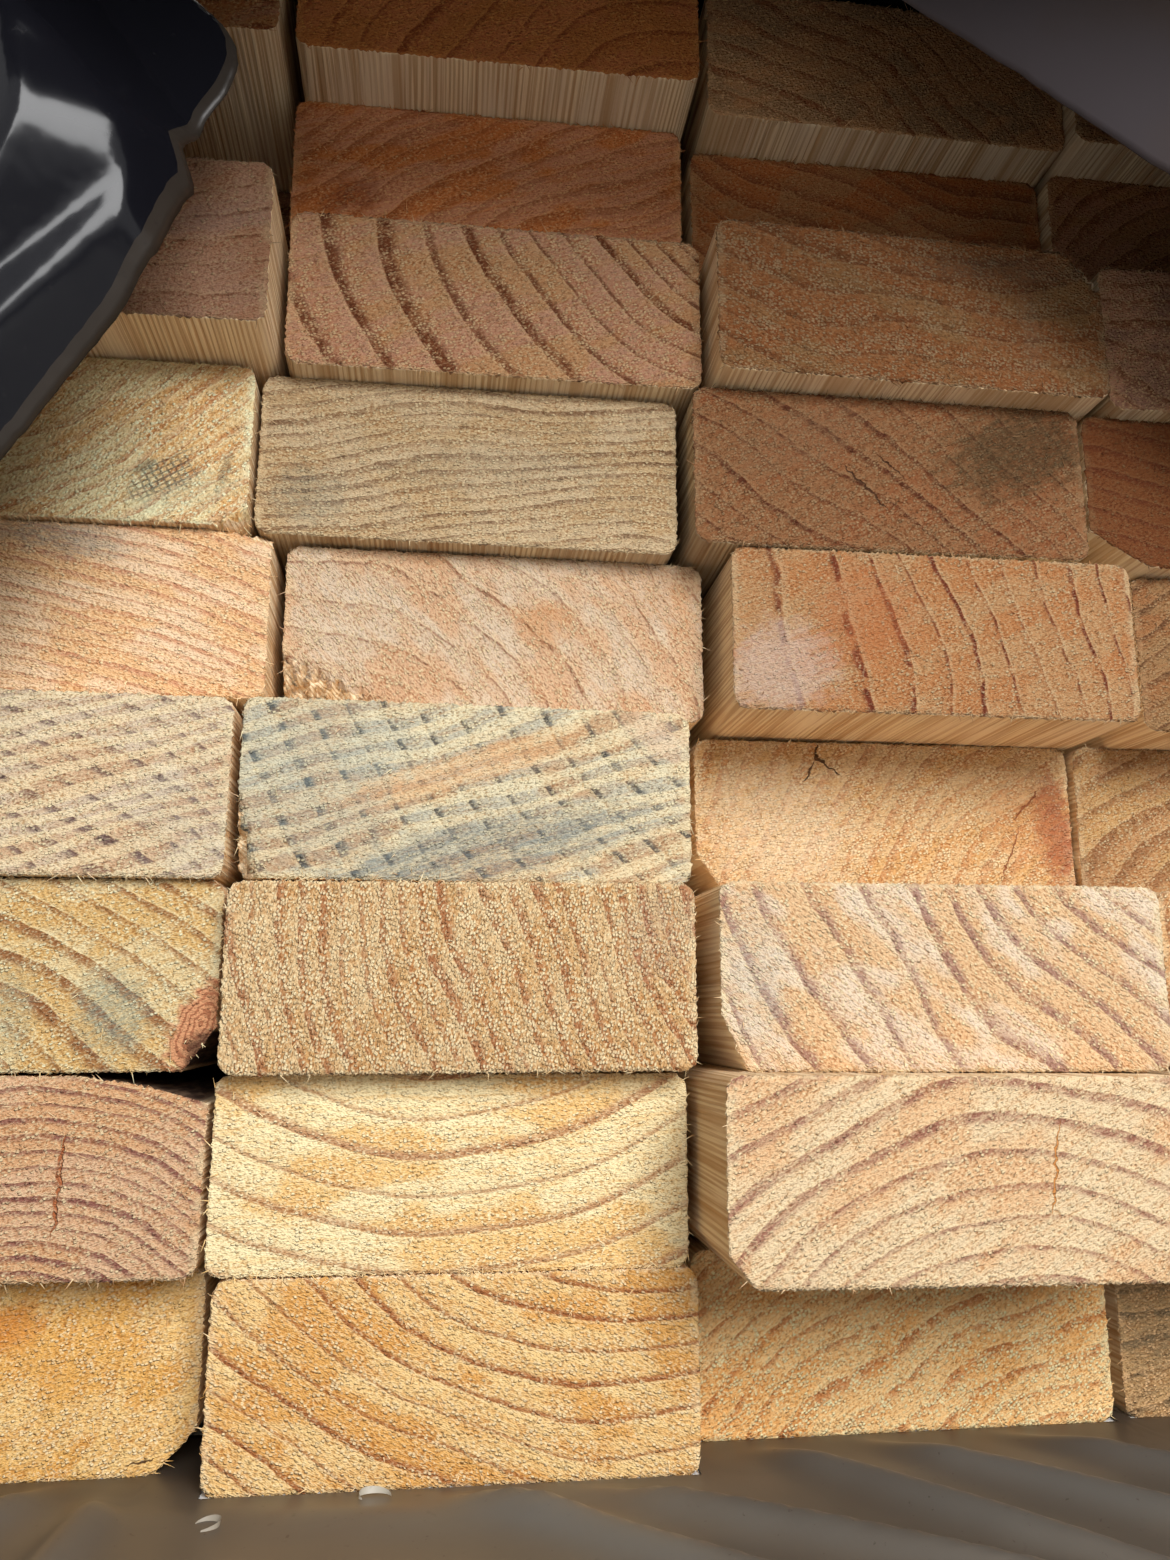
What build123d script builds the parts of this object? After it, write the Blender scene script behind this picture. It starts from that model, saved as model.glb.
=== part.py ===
from build123d import *
import math
import os

# Framing boards, in mm
BOARD_WIDTH = 90.0
BOARD_THICKNESS = 36.0
BOARD_LENGTH = 2400.0
ARRIS_RADIUS = 3.0
END_ALLOWANCE = 12.0

# How the boards are stacked
COLUMN_GAP = 3.0
CONTACT_GAP = 0.05

# Each row from the top of the stack down, each board from the left as seen from the front.
# Sideways shift of the board from its column's centre
SIDE_SHIFT = (
    (1.5, 2.0, 3.5, 1.0),
    (1.0, 0.5, 1.5, -0.5),
    (3.5, 2.5, 1.5, 0.5),
    (-0.5, -2.5, -3.0, -4.5),
    (4.5, 4.0, 5.0, 7.0),
    (-0.5, -1.5, 1.5, -0.5),
    (-0.5, -2.0, -1.5, -1.0),
    (-1.5, -3.0, -4.0, -3.0),
    (-1.5, -1.5, -2.5, -2.0),
)
# How far the board's front end stands back from the common end line, less than zero if it sticks out
END_OFFSET = (
    (-12.0, -10.0, 0.0, -4.0),
    (38.0, 5.5, 11.5, 8.5),
    (-17.0, -4.0, -12.0, -8.0),
    (-1.0, 1.5, -5.0, -3.0),
    (0.5, 6.5, -5.0, 1.5),
    (-3.5, -3.5, 20.0, 18.5),
    (-1.0, -7.0, -14.0, -9.0),
    (-0.5, -1.0, -25.0, -15.0),
    (10.0, -1.5, 15.0, 16.5),
)
# Skew of the sawn end as seen from above, in degrees
END_SKEW = (
    (0.4, -0.3, 0.6, -0.4),
    (0.5, -0.8, 0.2, 0.3),
    (-0.4, 0.3, 0.7, -0.5),
    (-0.9, -0.2, 0.8, 0.4),
    (0.3, 1.1, -0.9, 0.4),
    (0.2, 1.2, 0.3, -0.4),
    (-0.3, -0.5, -1.3, 0.6),
    (0.4, 0.3, -0.3, 0.5),
    (0.3, -0.2, 0.5, -0.4),
)
# Lean of the board about its length, in degrees, the right edge up: the boards are a little twisted
LEAN = (
    (0.3, 0.2, -0.4, 0.3),
    (-0.3, -0.3, 0.3, -0.2),
    (0.4, 0.2, -0.2, 0.4),
    (-0.2, -0.4, 0.4, -0.4),
    (0.3, 0.2, -0.4, 0.3),
    (-0.3, -0.2, 0.3, -0.3),
    (0.2, 0.3, -0.2, 0.3),
    (-0.4, -0.2, -0.5, -0.2),
    (0.0, 0.0, 0.0, 0.0),
)

# Wane, where the log's round edge shows at a corner: (row, column) to
# (side, face, width of the wane, its height, length that it runs back along the board).
# Side is -1 on the left and 1 on the right, face is -1 below and 1 above.
LOG_RADIUS = 110.0
WANES = {
    (3, 4): (1, 1, 9.0, 6.0, 520.0),
    (4, 4): (-1, -1, 14.0, 8.0, 900.0),
    (6, 3): (-1, -1, 7.0, 10.0, 700.0),
    (7, 1): (1, -1, 6.0, 8.0, 480.0),
    (7, 3): (-1, -1, 5.0, 11.0, 650.0),
    (8, 1): (1, 1, 24.0, 5.0, 1100.0),
    (8, 3): (-1, -1, 5.0, 6.0, 380.0),
    (9, 1): (1, -1, 8.0, 8.0, 560.0),
}

# Corners torn out as the board was sawn off: (row, column) to
# (side, face, width, height, depth along the board)
TORN_CORNERS = {
    (3, 3): (1, 1, 8.0, 11.0, 24.0),
    (4, 1): (1, -1, 7.0, 4.0, 20.0),
    (5, 1): (1, 1, 10.0, 3.0, 16.0),
    (5, 2): (-1, -1, 25.0, 11.0, 46.0),
    (6, 2): (-1, -1, 4.0, 16.0, 30.0),
}
# The ragged line of a tear, from the board's face to its side, as shares of width and height
TEAR_LINE = ((0.0, 0.0), (0.06, 0.55), (0.34, 0.62), (0.48, 0.86), (0.8, 0.9), (1.0, 1.0))
TEAR_SPREAD = 1.5

# Film wrap: a skin over the top, both sides and the far end, torn open at the front end
FILM_THICKNESS = 1.2
FILM_CLEARANCE = 0.4
FILM_CORNER_RADIUS = 5.0
FRONT_FILM_REACH = 22.0
CURTAIN_LEFT_TOP = 105.0
CURTAIN_LEFT_KNEE_REACH = 96.0
CURTAIN_LEFT_KNEE_DROP = 90.0
CURTAIN_LEFT_DROP = 289.0
CURTAIN_RIGHT_TOP = 234.0
CURTAIN_RIGHT_DROP = 155.0
APRON_REACH = 95.0
APRON_GAP = 1.0
ROOF_REACH = 90.0

ROWS = len(SIDE_SHIFT)
COLUMNS = len(SIDE_SHIFT[0])
COLUMN_PITCH = BOARD_WIDTH + COLUMN_GAP


class Place:
    """Where one board lies: its centre, its front end and its lean, with the x axis to the right."""

    def __init__(self, row, column):
        self.row = row
        self.column = column
        self.x = (column - (COLUMNS - 1) / 2) * COLUMN_PITCH + SIDE_SHIFT[row][column]
        self.front = END_OFFSET[row][column] - BOARD_LENGTH / 2
        self.slope = math.tan(math.radians(LEAN[row][column]))
        self.half_height = BOARD_THICKNESS / 2 * math.hypot(1, self.slope)
        self.left = self.x - BOARD_WIDTH / 2
        self.right = self.x + BOARD_WIDTH / 2
        self.z = self.half_height

    def top_at(self, x):
        """Height of the upper face at x."""
        return self.z + self.half_height + (x - self.x) * self.slope

    def lowest_centre_on(self, below):
        """Height of this board's centre when it just rests on the board below."""
        ends = (max(self.left, below.left), min(self.right, below.right))
        if ends[0] >= ends[1]:
            return self.half_height
        return max(below.top_at(x) + self.half_height - (x - self.x) * self.slope for x in ends)


def stack_places():
    """Rest each row on the one below it, from the floor up."""
    rows = []
    for row in reversed(range(ROWS)):
        places = [Place(row, column) for column in range(COLUMNS)]
        if rows:
            for place in places:
                place.z = max(place.lowest_centre_on(below) for below in rows[-1]) + CONTACT_GAP
        rows.append(places)
    return [place for places in rows for place in places]


def corner_points(side, face, shares, width, height):
    """Points at a corner of the section, from shares of the width and height taken off."""
    return [
        (side * (BOARD_WIDTH / 2 - width * (1 - across)), face * (BOARD_THICKNESS / 2 - height * down))
        for across, down in shares
    ]


def run_out(sketch, side, face, width, height, depth):
    """Cutter that starts at the front end with the sketch and leaves the board at the given depth."""
    slant = Vector(side * width, depth, face * height)
    start = Vector(0, -END_ALLOWANCE, 0)
    cutter = extrude(Plane.XZ * sketch, amount=slant.length + END_ALLOWANCE, dir=slant)
    return Pos(start.X, start.Y, start.Z) * cutter


def wane_cutter(side, face, width, height, depth):
    """What lies outside the log at one corner of the board."""
    start = Vector(BOARD_WIDTH / 2 - width, BOARD_THICKNESS / 2)
    end = Vector(BOARD_WIDTH / 2, BOARD_THICKNESS / 2 - height)
    chord = end - start
    to_centre = Vector(-height, -width).normalized() * math.sqrt(LOG_RADIUS ** 2 - (chord.length / 2) ** 2)
    centre = (start + end) / 2 + to_centre
    corner = Pos(side * BOARD_WIDTH / 2, face * BOARD_THICKNESS / 2) * Rectangle(2 * width, 2 * height)
    log = Pos(side * centre.X, face * centre.Y) * Circle(LOG_RADIUS)
    return run_out(corner - log, side, face, width, height, depth)


def tear_cutter(side, face, width, height, depth):
    """A ragged bite out of one corner of the board's end."""
    inner = corner_points(side, face, TEAR_LINE, width, height)
    outer_x = side * (BOARD_WIDTH / 2 + width * TEAR_SPREAD)
    outer_z = face * (BOARD_THICKNESS / 2 + height * TEAR_SPREAD)
    outline = inner + [(outer_x, inner[-1][1]), (outer_x, outer_z), (inner[0][0], outer_z)]
    return run_out(make_face(Polyline(*outline, close=True)), side, face, width, height, depth)


def make_board(place):
    """One board with eased arrises, its skewed sawn end, and its wane or torn corner."""
    section = Plane.XZ * RectangleRounded(BOARD_WIDTH, BOARD_THICKNESS, ARRIS_RADIUS)
    blank = extrude(section, amount=BOARD_LENGTH + END_ALLOWANCE, dir=(0, 1, 0))
    board = Pos(0, -END_ALLOWANCE, 0) * blank
    skew = math.radians(END_SKEW[place.row][place.column])
    saw_plane = Plane(origin=(0, 0, 0), z_dir=(math.sin(skew), -math.cos(skew), 0))
    board = split(board, bisect_by=saw_plane, keep=Keep.BOTTOM)
    key = (place.row + 1, place.column + 1)
    if key in WANES:
        board -= wane_cutter(*WANES[key])
    if key in TORN_CORNERS:
        board -= tear_cutter(*TORN_CORNERS[key])
    lean = Rot(0, -LEAN[place.row][place.column], 0)
    return Pos(place.x, place.front, place.z) * lean * board


def make_wrap(places):
    """The film: a cover, and its cut end as a raised roof, two torn curtains and an apron on the floor."""
    half_width = max(max(-place.left, place.right) for place in places) + FILM_CLEARANCE
    height = max(max(place.top_at(place.left), place.top_at(place.right)) for place in places) + FILM_CLEARANCE
    rear = max(place.front for place in places) + BOARD_LENGTH + FILM_CLEARANCE
    first_end = min(place.front for place in places)
    front = first_end - FRONT_FILM_REACH
    outer_half = half_width + FILM_THICKNESS
    outer_height = height + FILM_THICKNESS
    outer_radius = FILM_CORNER_RADIUS + FILM_THICKNESS

    outline = Rectangle(2 * outer_half, 2 * outer_height)
    outline = fillet(outline.vertices(), outer_radius)
    hollow = Rectangle(2 * half_width, 2 * height)
    hollow = fillet(hollow.vertices(), FILM_CORNER_RADIUS)
    above_floor = Pos(0, outer_height) * Rectangle(2 * outer_half, 2 * outer_height)
    length = rear + FILM_THICKNESS - front
    cover = extrude(Plane.XZ * (outline & above_floor), amount=length, dir=(0, 1, 0))
    cover -= extrude(Plane.XZ * (hollow & above_floor), amount=length - FILM_THICKNESS, dir=(0, 1, 0))

    left_curtain = Polyline(
        (-outer_half, outer_height), (-outer_half + CURTAIN_LEFT_TOP, outer_height),
        (-outer_half + CURTAIN_LEFT_KNEE_REACH, outer_height - CURTAIN_LEFT_KNEE_DROP),
        (-outer_half, outer_height - CURTAIN_LEFT_DROP), close=True)
    right_curtain = Polyline(
        (outer_half, outer_height), (outer_half - CURTAIN_RIGHT_TOP, outer_height),
        (outer_half, outer_height - CURTAIN_RIGHT_DROP), close=True)
    for curtain in (left_curtain, right_curtain):
        sheet = make_face(curtain) & outline
        cover += extrude(Plane.XZ * sheet, amount=FILM_THICKNESS, dir=(0, 1, 0))

    floor_row_front = min(place.front for place in places if place.row == ROWS - 1)
    apron_depth = APRON_REACH + floor_row_front - APRON_GAP - front
    apron = Box(2 * outer_half, apron_depth, FILM_THICKNESS, align=(Align.CENTER, Align.MIN, Align.MIN))
    cover += Pos(0, -APRON_REACH, 0) * apron
    roof = Box(2 * (outer_half - outer_radius), ROOF_REACH, FILM_THICKNESS,
               align=(Align.CENTER, Align.MAX, Align.MAX))
    cover += Pos(0, 0, outer_height) * roof
    return Pos(0, front, 0) * cover


def main():
    places = stack_places()
    wrap = make_wrap(places)
    box = wrap.bounding_box()
    centred = Pos(0, -(box.min.Y + box.max.Y) / 2, 0)
    os.makedirs("parts", exist_ok=True)
    for place in places:
        name = f"board_row{place.row + 1}_place{place.column + 1}"
        export_step(centred * make_board(place), f"parts/{name}.step")
    export_step(centred * wrap, "parts/film_wrap.step")


main()
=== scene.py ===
"""Looks of a stack of framing boards that lies in a torn film wrap."""

import logging
import math
from dataclasses import dataclass, field, replace
from enum import Enum
from typing import Optional, Sequence, Union

import bmesh
import bpy
import numpy as np
from mathutils import Euler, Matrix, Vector, noise


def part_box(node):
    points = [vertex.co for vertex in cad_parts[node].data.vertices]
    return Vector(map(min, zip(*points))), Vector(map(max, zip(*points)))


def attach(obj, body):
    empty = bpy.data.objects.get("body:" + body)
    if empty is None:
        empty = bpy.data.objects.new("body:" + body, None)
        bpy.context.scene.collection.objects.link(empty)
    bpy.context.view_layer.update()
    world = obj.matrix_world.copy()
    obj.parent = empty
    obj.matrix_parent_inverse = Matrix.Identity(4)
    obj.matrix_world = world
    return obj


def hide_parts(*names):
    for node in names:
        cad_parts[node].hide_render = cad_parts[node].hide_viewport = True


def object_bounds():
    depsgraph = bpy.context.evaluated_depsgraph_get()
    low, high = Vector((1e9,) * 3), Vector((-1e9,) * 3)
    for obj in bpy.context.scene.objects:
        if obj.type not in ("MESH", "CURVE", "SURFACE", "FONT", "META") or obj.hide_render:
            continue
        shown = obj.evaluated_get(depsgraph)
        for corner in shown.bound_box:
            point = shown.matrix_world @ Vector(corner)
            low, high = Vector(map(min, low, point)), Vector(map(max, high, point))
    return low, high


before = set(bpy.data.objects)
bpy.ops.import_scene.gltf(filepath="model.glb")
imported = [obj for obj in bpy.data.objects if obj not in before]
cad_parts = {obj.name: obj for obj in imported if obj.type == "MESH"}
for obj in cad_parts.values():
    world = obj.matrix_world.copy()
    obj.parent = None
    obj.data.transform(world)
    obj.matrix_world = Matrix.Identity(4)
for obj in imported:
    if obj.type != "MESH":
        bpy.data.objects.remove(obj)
CAD_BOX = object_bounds()

MM = 0.001
Rgb = tuple[int, int, int]
Point = tuple[float, float]
Socket = bpy.types.NodeSocket
Value = Union[Socket, float, Sequence[float]]


def paint(colour: Rgb, alpha: float = 1.0) -> tuple[float, float, float, float]:
    """Turn a screen colour into the linear colour that a shader takes.

    Args:
        colour: Red, green and blue from 0 to 255.
        alpha: Opacity from 0 to 1.

    Returns:
        Linear red, green, blue and the alpha.
    """
    linear = [(c / 255 / 12.92) if c <= 10 else ((c / 255 + 0.055) / 1.055) ** 2.4 for c in colour]
    return (*linear, alpha)


def noise_over(u: np.ndarray, v: np.ndarray, scale: float, seed: float) -> np.ndarray:
    """Noise over two arrays of coordinates in metres.

    Args:
        u: First coordinate.
        v: Second coordinate, of the same shape.
        scale: Waves in a metre.
        seed: Third coordinate, which picks the pattern.

    Returns:
        The noise from -1 to 1, in the shape of the coordinates.
    """
    values = [noise.noise(Vector((a * scale, b * scale, seed))) for a, b in zip(u.flat, v.flat)]
    return np.array(values).reshape(u.shape)


class Graph:
    """Short calls that add nodes to one node tree."""

    def __init__(self, tree: bpy.types.NodeTree) -> None:
        """Work on the given tree."""
        self.tree = tree

    def node(self, kind: str, inputs: Optional[dict] = None, **settings: object) -> bpy.types.Node:
        """Add a node.

        Args:
            kind: The node's type name.
            inputs: Values or sockets for its inputs, by name or index.
            **settings: Properties of the node.

        Returns:
            The new node.
        """
        made = self.tree.nodes.new(kind)
        for name, value in settings.items():
            setattr(made, name, value)
        for key, value in (inputs or {}).items():
            self.feed(made.inputs[key], value)
        return made

    def feed(self, target: Socket, value: Value) -> None:
        """Link a socket to an input, or write a plain value into it."""
        if isinstance(value, bpy.types.NodeSocket):
            self.tree.links.new(value, target)
        else:
            target.default_value = value

    def math(self, operation: str, *values: Value, clamp: bool = False) -> Socket:
        """Add a Math node and return its result."""
        made = self.node("ShaderNodeMath", operation=operation, use_clamp=clamp)
        for target, value in zip(made.inputs, values):
            self.feed(target, value)
        return made.outputs[0]

    def times(self, first: Value, second: Value, clamp: bool = False) -> Socket:
        """Multiply two values."""
        return self.math("MULTIPLY", first, second, clamp=clamp)

    def times_plus(self, value: Value, factor: Value, shift: Value) -> Socket:
        """Multiply a value by a factor and add a shift."""
        return self.math("MULTIPLY_ADD", value, factor, shift)

    def plus(self, first: Value, second: Value) -> Socket:
        """Add two values."""
        return self.math("ADD", first, second)

    def minus(self, first: Value, second: Value) -> Socket:
        """Take the second value from the first."""
        return self.math("SUBTRACT", first, second)

    def rest(self, share: Value) -> Socket:
        """Take a share from 1."""
        return self.math("SUBTRACT", 1.0, share)

    def larger(self, first: Value, second: Value) -> Socket:
        """Return the larger of two values."""
        return self.math("MAXIMUM", first, second)

    def vector(self, operation: str, *values: Value, out: int = 0) -> Socket:
        """Add a Vector Math node and return one of its results."""
        made = self.node("ShaderNodeVectorMath", operation=operation)
        for target, value in zip(made.inputs, values):
            self.feed(target, value)
        return made.outputs[out]

    def scaled(self, vector: Value, factors: Sequence[float]) -> Socket:
        """Multiply a vector by three factors."""
        return self.vector("MULTIPLY", vector, tuple(factors))

    def split(self, vector: Value) -> tuple[Socket, Socket, Socket]:
        """Return the three parts of a vector."""
        made = self.node("ShaderNodeSeparateXYZ", {0: vector})
        return made.outputs[0], made.outputs[1], made.outputs[2]

    def join(self, x: Value, y: Value, z: Value) -> Socket:
        """Make a vector of three parts."""
        return self.node("ShaderNodeCombineXYZ", {0: x, 1: y, 2: z}).outputs[0]

    def noise(self, vector: Value, detail: float = 2.0, roughness: float = 0.5, colour: bool = False,
              flat: bool = False) -> Socket:
        """Add a Noise Texture at scale 1, over two dimensions if flat, and return its value or colour."""
        made = self.node("ShaderNodeTexNoise", {"Vector": vector, "Scale": 1.0, "Detail": detail,
                                                "Roughness": roughness},
                         noise_dimensions="2D" if flat else "3D")
        return made.outputs["Color" if colour else "Fac"]

    def grains(self, vector: Value) -> tuple[Socket, Socket]:
        """Add flat cells at scale 1 and return the distance to each cell's middle and its random colour."""
        made = self.node("ShaderNodeTexVoronoi", {"Vector": vector, "Scale": 1.0}, voronoi_dimensions="2D")
        return made.outputs["Distance"], made.outputs["Color"]

    def step(self, value: Value, low: Value, high: Value) -> Socket:
        """Smooth step from 0 at low to 1 at high."""
        made = self.node("ShaderNodeMapRange", {"Value": value, "From Min": low, "From Max": high},
                         interpolation_type="SMOOTHSTEP")
        return made.outputs[0]

    def mix(self, share: Value, first: Value, second: Value, blend: str = "MIX") -> Socket:
        """Mix two colours."""
        made = self.node("ShaderNodeMix", data_type="RGBA", blend_type=blend, clamp_factor=True)
        self.feed(made.inputs[0], share)
        self.feed(made.inputs[6], first)
        self.feed(made.inputs[7], second)
        return made.outputs[2]

    def tint(self, colour: Value, factors: Sequence[float]) -> Socket:
        """Multiply a colour by another."""
        return self.mix(1.0, colour, factors, "MULTIPLY")

    def place_mm(self) -> Socket:
        """Place in the frame in mm, which is the Object coordinate of a piece at the origin."""
        return self.scaled(self.node("ShaderNodeTexCoord").outputs["Object"], (1 / MM,) * 3)

    def group(self, tree: bpy.types.NodeTree, inputs: dict) -> bpy.types.Node:
        """Add a group node and set its inputs by name."""
        made = self.node("ShaderNodeGroup", node_tree=tree)
        for name, value in inputs.items():
            self.feed(made.inputs[name], value)
        return made


def new_group(name: str, inputs: dict,
              outputs: Sequence[tuple[str, str]]) -> tuple[Graph, dict, bpy.types.Node]:
    """Start a shader node group.

    Args:
        name: The group's name.
        inputs: Input names with their default values: numbers, colours or None for a vector.
        outputs: Output names with their socket types.

    Returns:
        The graph, the input sockets by name, and the output node.
    """
    tree = bpy.data.node_groups.new(name, "ShaderNodeTree")
    for key, value in inputs.items():
        if value is None:
            tree.interface.new_socket(key, in_out="INPUT", socket_type="NodeSocketVector")
        elif isinstance(value, tuple):
            made = tree.interface.new_socket(key, in_out="INPUT", socket_type="NodeSocketColor")
            made.default_value = value
        else:
            made = tree.interface.new_socket(key, in_out="INPUT", socket_type="NodeSocketFloat")
            made.default_value = value
    for key, kind in outputs:
        tree.interface.new_socket(key, in_out="OUTPUT", socket_type=kind)
    graph = Graph(tree)
    entry = tree.nodes.new("NodeGroupInput")
    leave = tree.nodes.new("NodeGroupOutput")
    return graph, {s.name: s for s in entry.outputs if s.name}, leave


WHITE = (1.0, 1.0, 1.0, 1.0)
HALF_WIDTH_MM = 45.0
HALF_THICKNESS_MM = 18.0
ENDLESS_MM = 1000.0

# Inputs that the ring group takes, and the groups that pass them on, with their default values
RING_INPUTS: dict = {
    "Place": None, "Pith X": 0.0, "Pith Z": -100.0, "Ring": 5.0, "Growth": 1.0, "Mean Radius": 100.0,
    "Wobble": 3.0, "Late Share": 0.35, "Seed": 0.0, "Phase": 0.0,
}


@dataclass(frozen=True)
class Stain:
    """A soft patch of other colour on a sawn end, in mm from the board's centre: mostly stains, one a painted
    pool of light.
    """

    centre: Point
    radii: Point
    turn: float = 0.0
    strength: float = 0.7
    colour: Rgb = (120, 122, 112)
    grain: float = 0.5
    hatch: float = 0.0


@dataclass(frozen=True)
class Crack:
    """A check in the end grain, in mm from the board's centre."""

    start: Point
    end: Point
    width: float = 0.35
    colour: Rgb = (70, 40, 22)
    broken: float = 0.3


@dataclass(frozen=True)
class Knot:
    """A knot in the end, in mm from the board's centre."""

    centre: Point
    radii: Point
    turn: float = 0.0
    ring: float = 1.6
    colour: Rgb = (204, 146, 106)
    lines: Rgb = (152, 92, 62)


@dataclass(frozen=True)
class EndLook:
    """How the sawn end of one board looks. Lengths in mm, angles in degrees."""

    pith: Point = (0.0, -120.0)
    ring: float = 5.0
    growth: float = 1.0
    late_share: float = 0.35
    late_strength: float = 0.8
    wobble: float = 3.0
    early: Rgb = (230, 192, 146)
    patch: Rgb = (222, 170, 116)
    patch_share: float = 0.5
    late: Rgb = (172, 116, 80)
    fuzz: float = 0.6
    speck: Rgb = (250, 220, 172)
    saw_turn: float = 20.0
    saw_step: float = 3.2
    bands: float = 0.0
    breaks: float = 0.4
    stains: tuple[Stain, ...] = ()
    cracks: tuple[Crack, ...] = ()
    knots: tuple[Knot, ...] = ()
    side: Rgb = (250, 226, 190)
    # Painted shade on the long sides: darkens their colour where the film shades them.
    painted_side_shade: float = 1.0
    through: Point = (0.0, 0.0)
    # Painted light and shade of the whole board: this field scales its colours. Below 1 it is painted shade,
    # mostly of the film over the upper rows; above 1 it is painted light on a board in its neighbour's
    # shadow.
    painted_shade: float = 1.0
    # Warmth goes with the painted shade: shaded boards deeper and redder, lit boards paler when negative,
    # with some of the wood's own more orange tone.
    warmth: float = 0.0

    def with_painted_shade(self, colour: Rgb) -> tuple[float, float, float, float]:
        """Linear colour on this board: the painted shade scales it, warmth takes green and blue out."""
        red, green, blue, _ = paint(colour)
        tone = (red, green * (1 - 0.22 * self.warmth), blue * (1 - 0.36 * self.warmth))
        return (*(min(part * self.painted_shade, 0.95) for part in tone), 1.0)

    def phase(self) -> float:
        """Shift of the rings that makes one latewood line pass through the given point."""
        mean = math.hypot(*self.pith)
        radius = math.dist(self.pith, self.through)
        return 0.95 - (radius / mean) ** self.growth * mean / (self.ring * self.growth)


PINK: Rgb = (226, 178, 148)
TAN: Rgb = (216, 172, 124)
ORANGE: Rgb = (222, 152, 92)
PURPLE_BROWN: Rgb = (156, 108, 94)
BROWN: Rgb = (166, 108, 68)
RUST: Rgb = (190, 112, 62)
INK: Rgb = (48, 48, 46)

# Looks of each board by row and place; their shade and warmth numbers are mostly painted light and shade.
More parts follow.
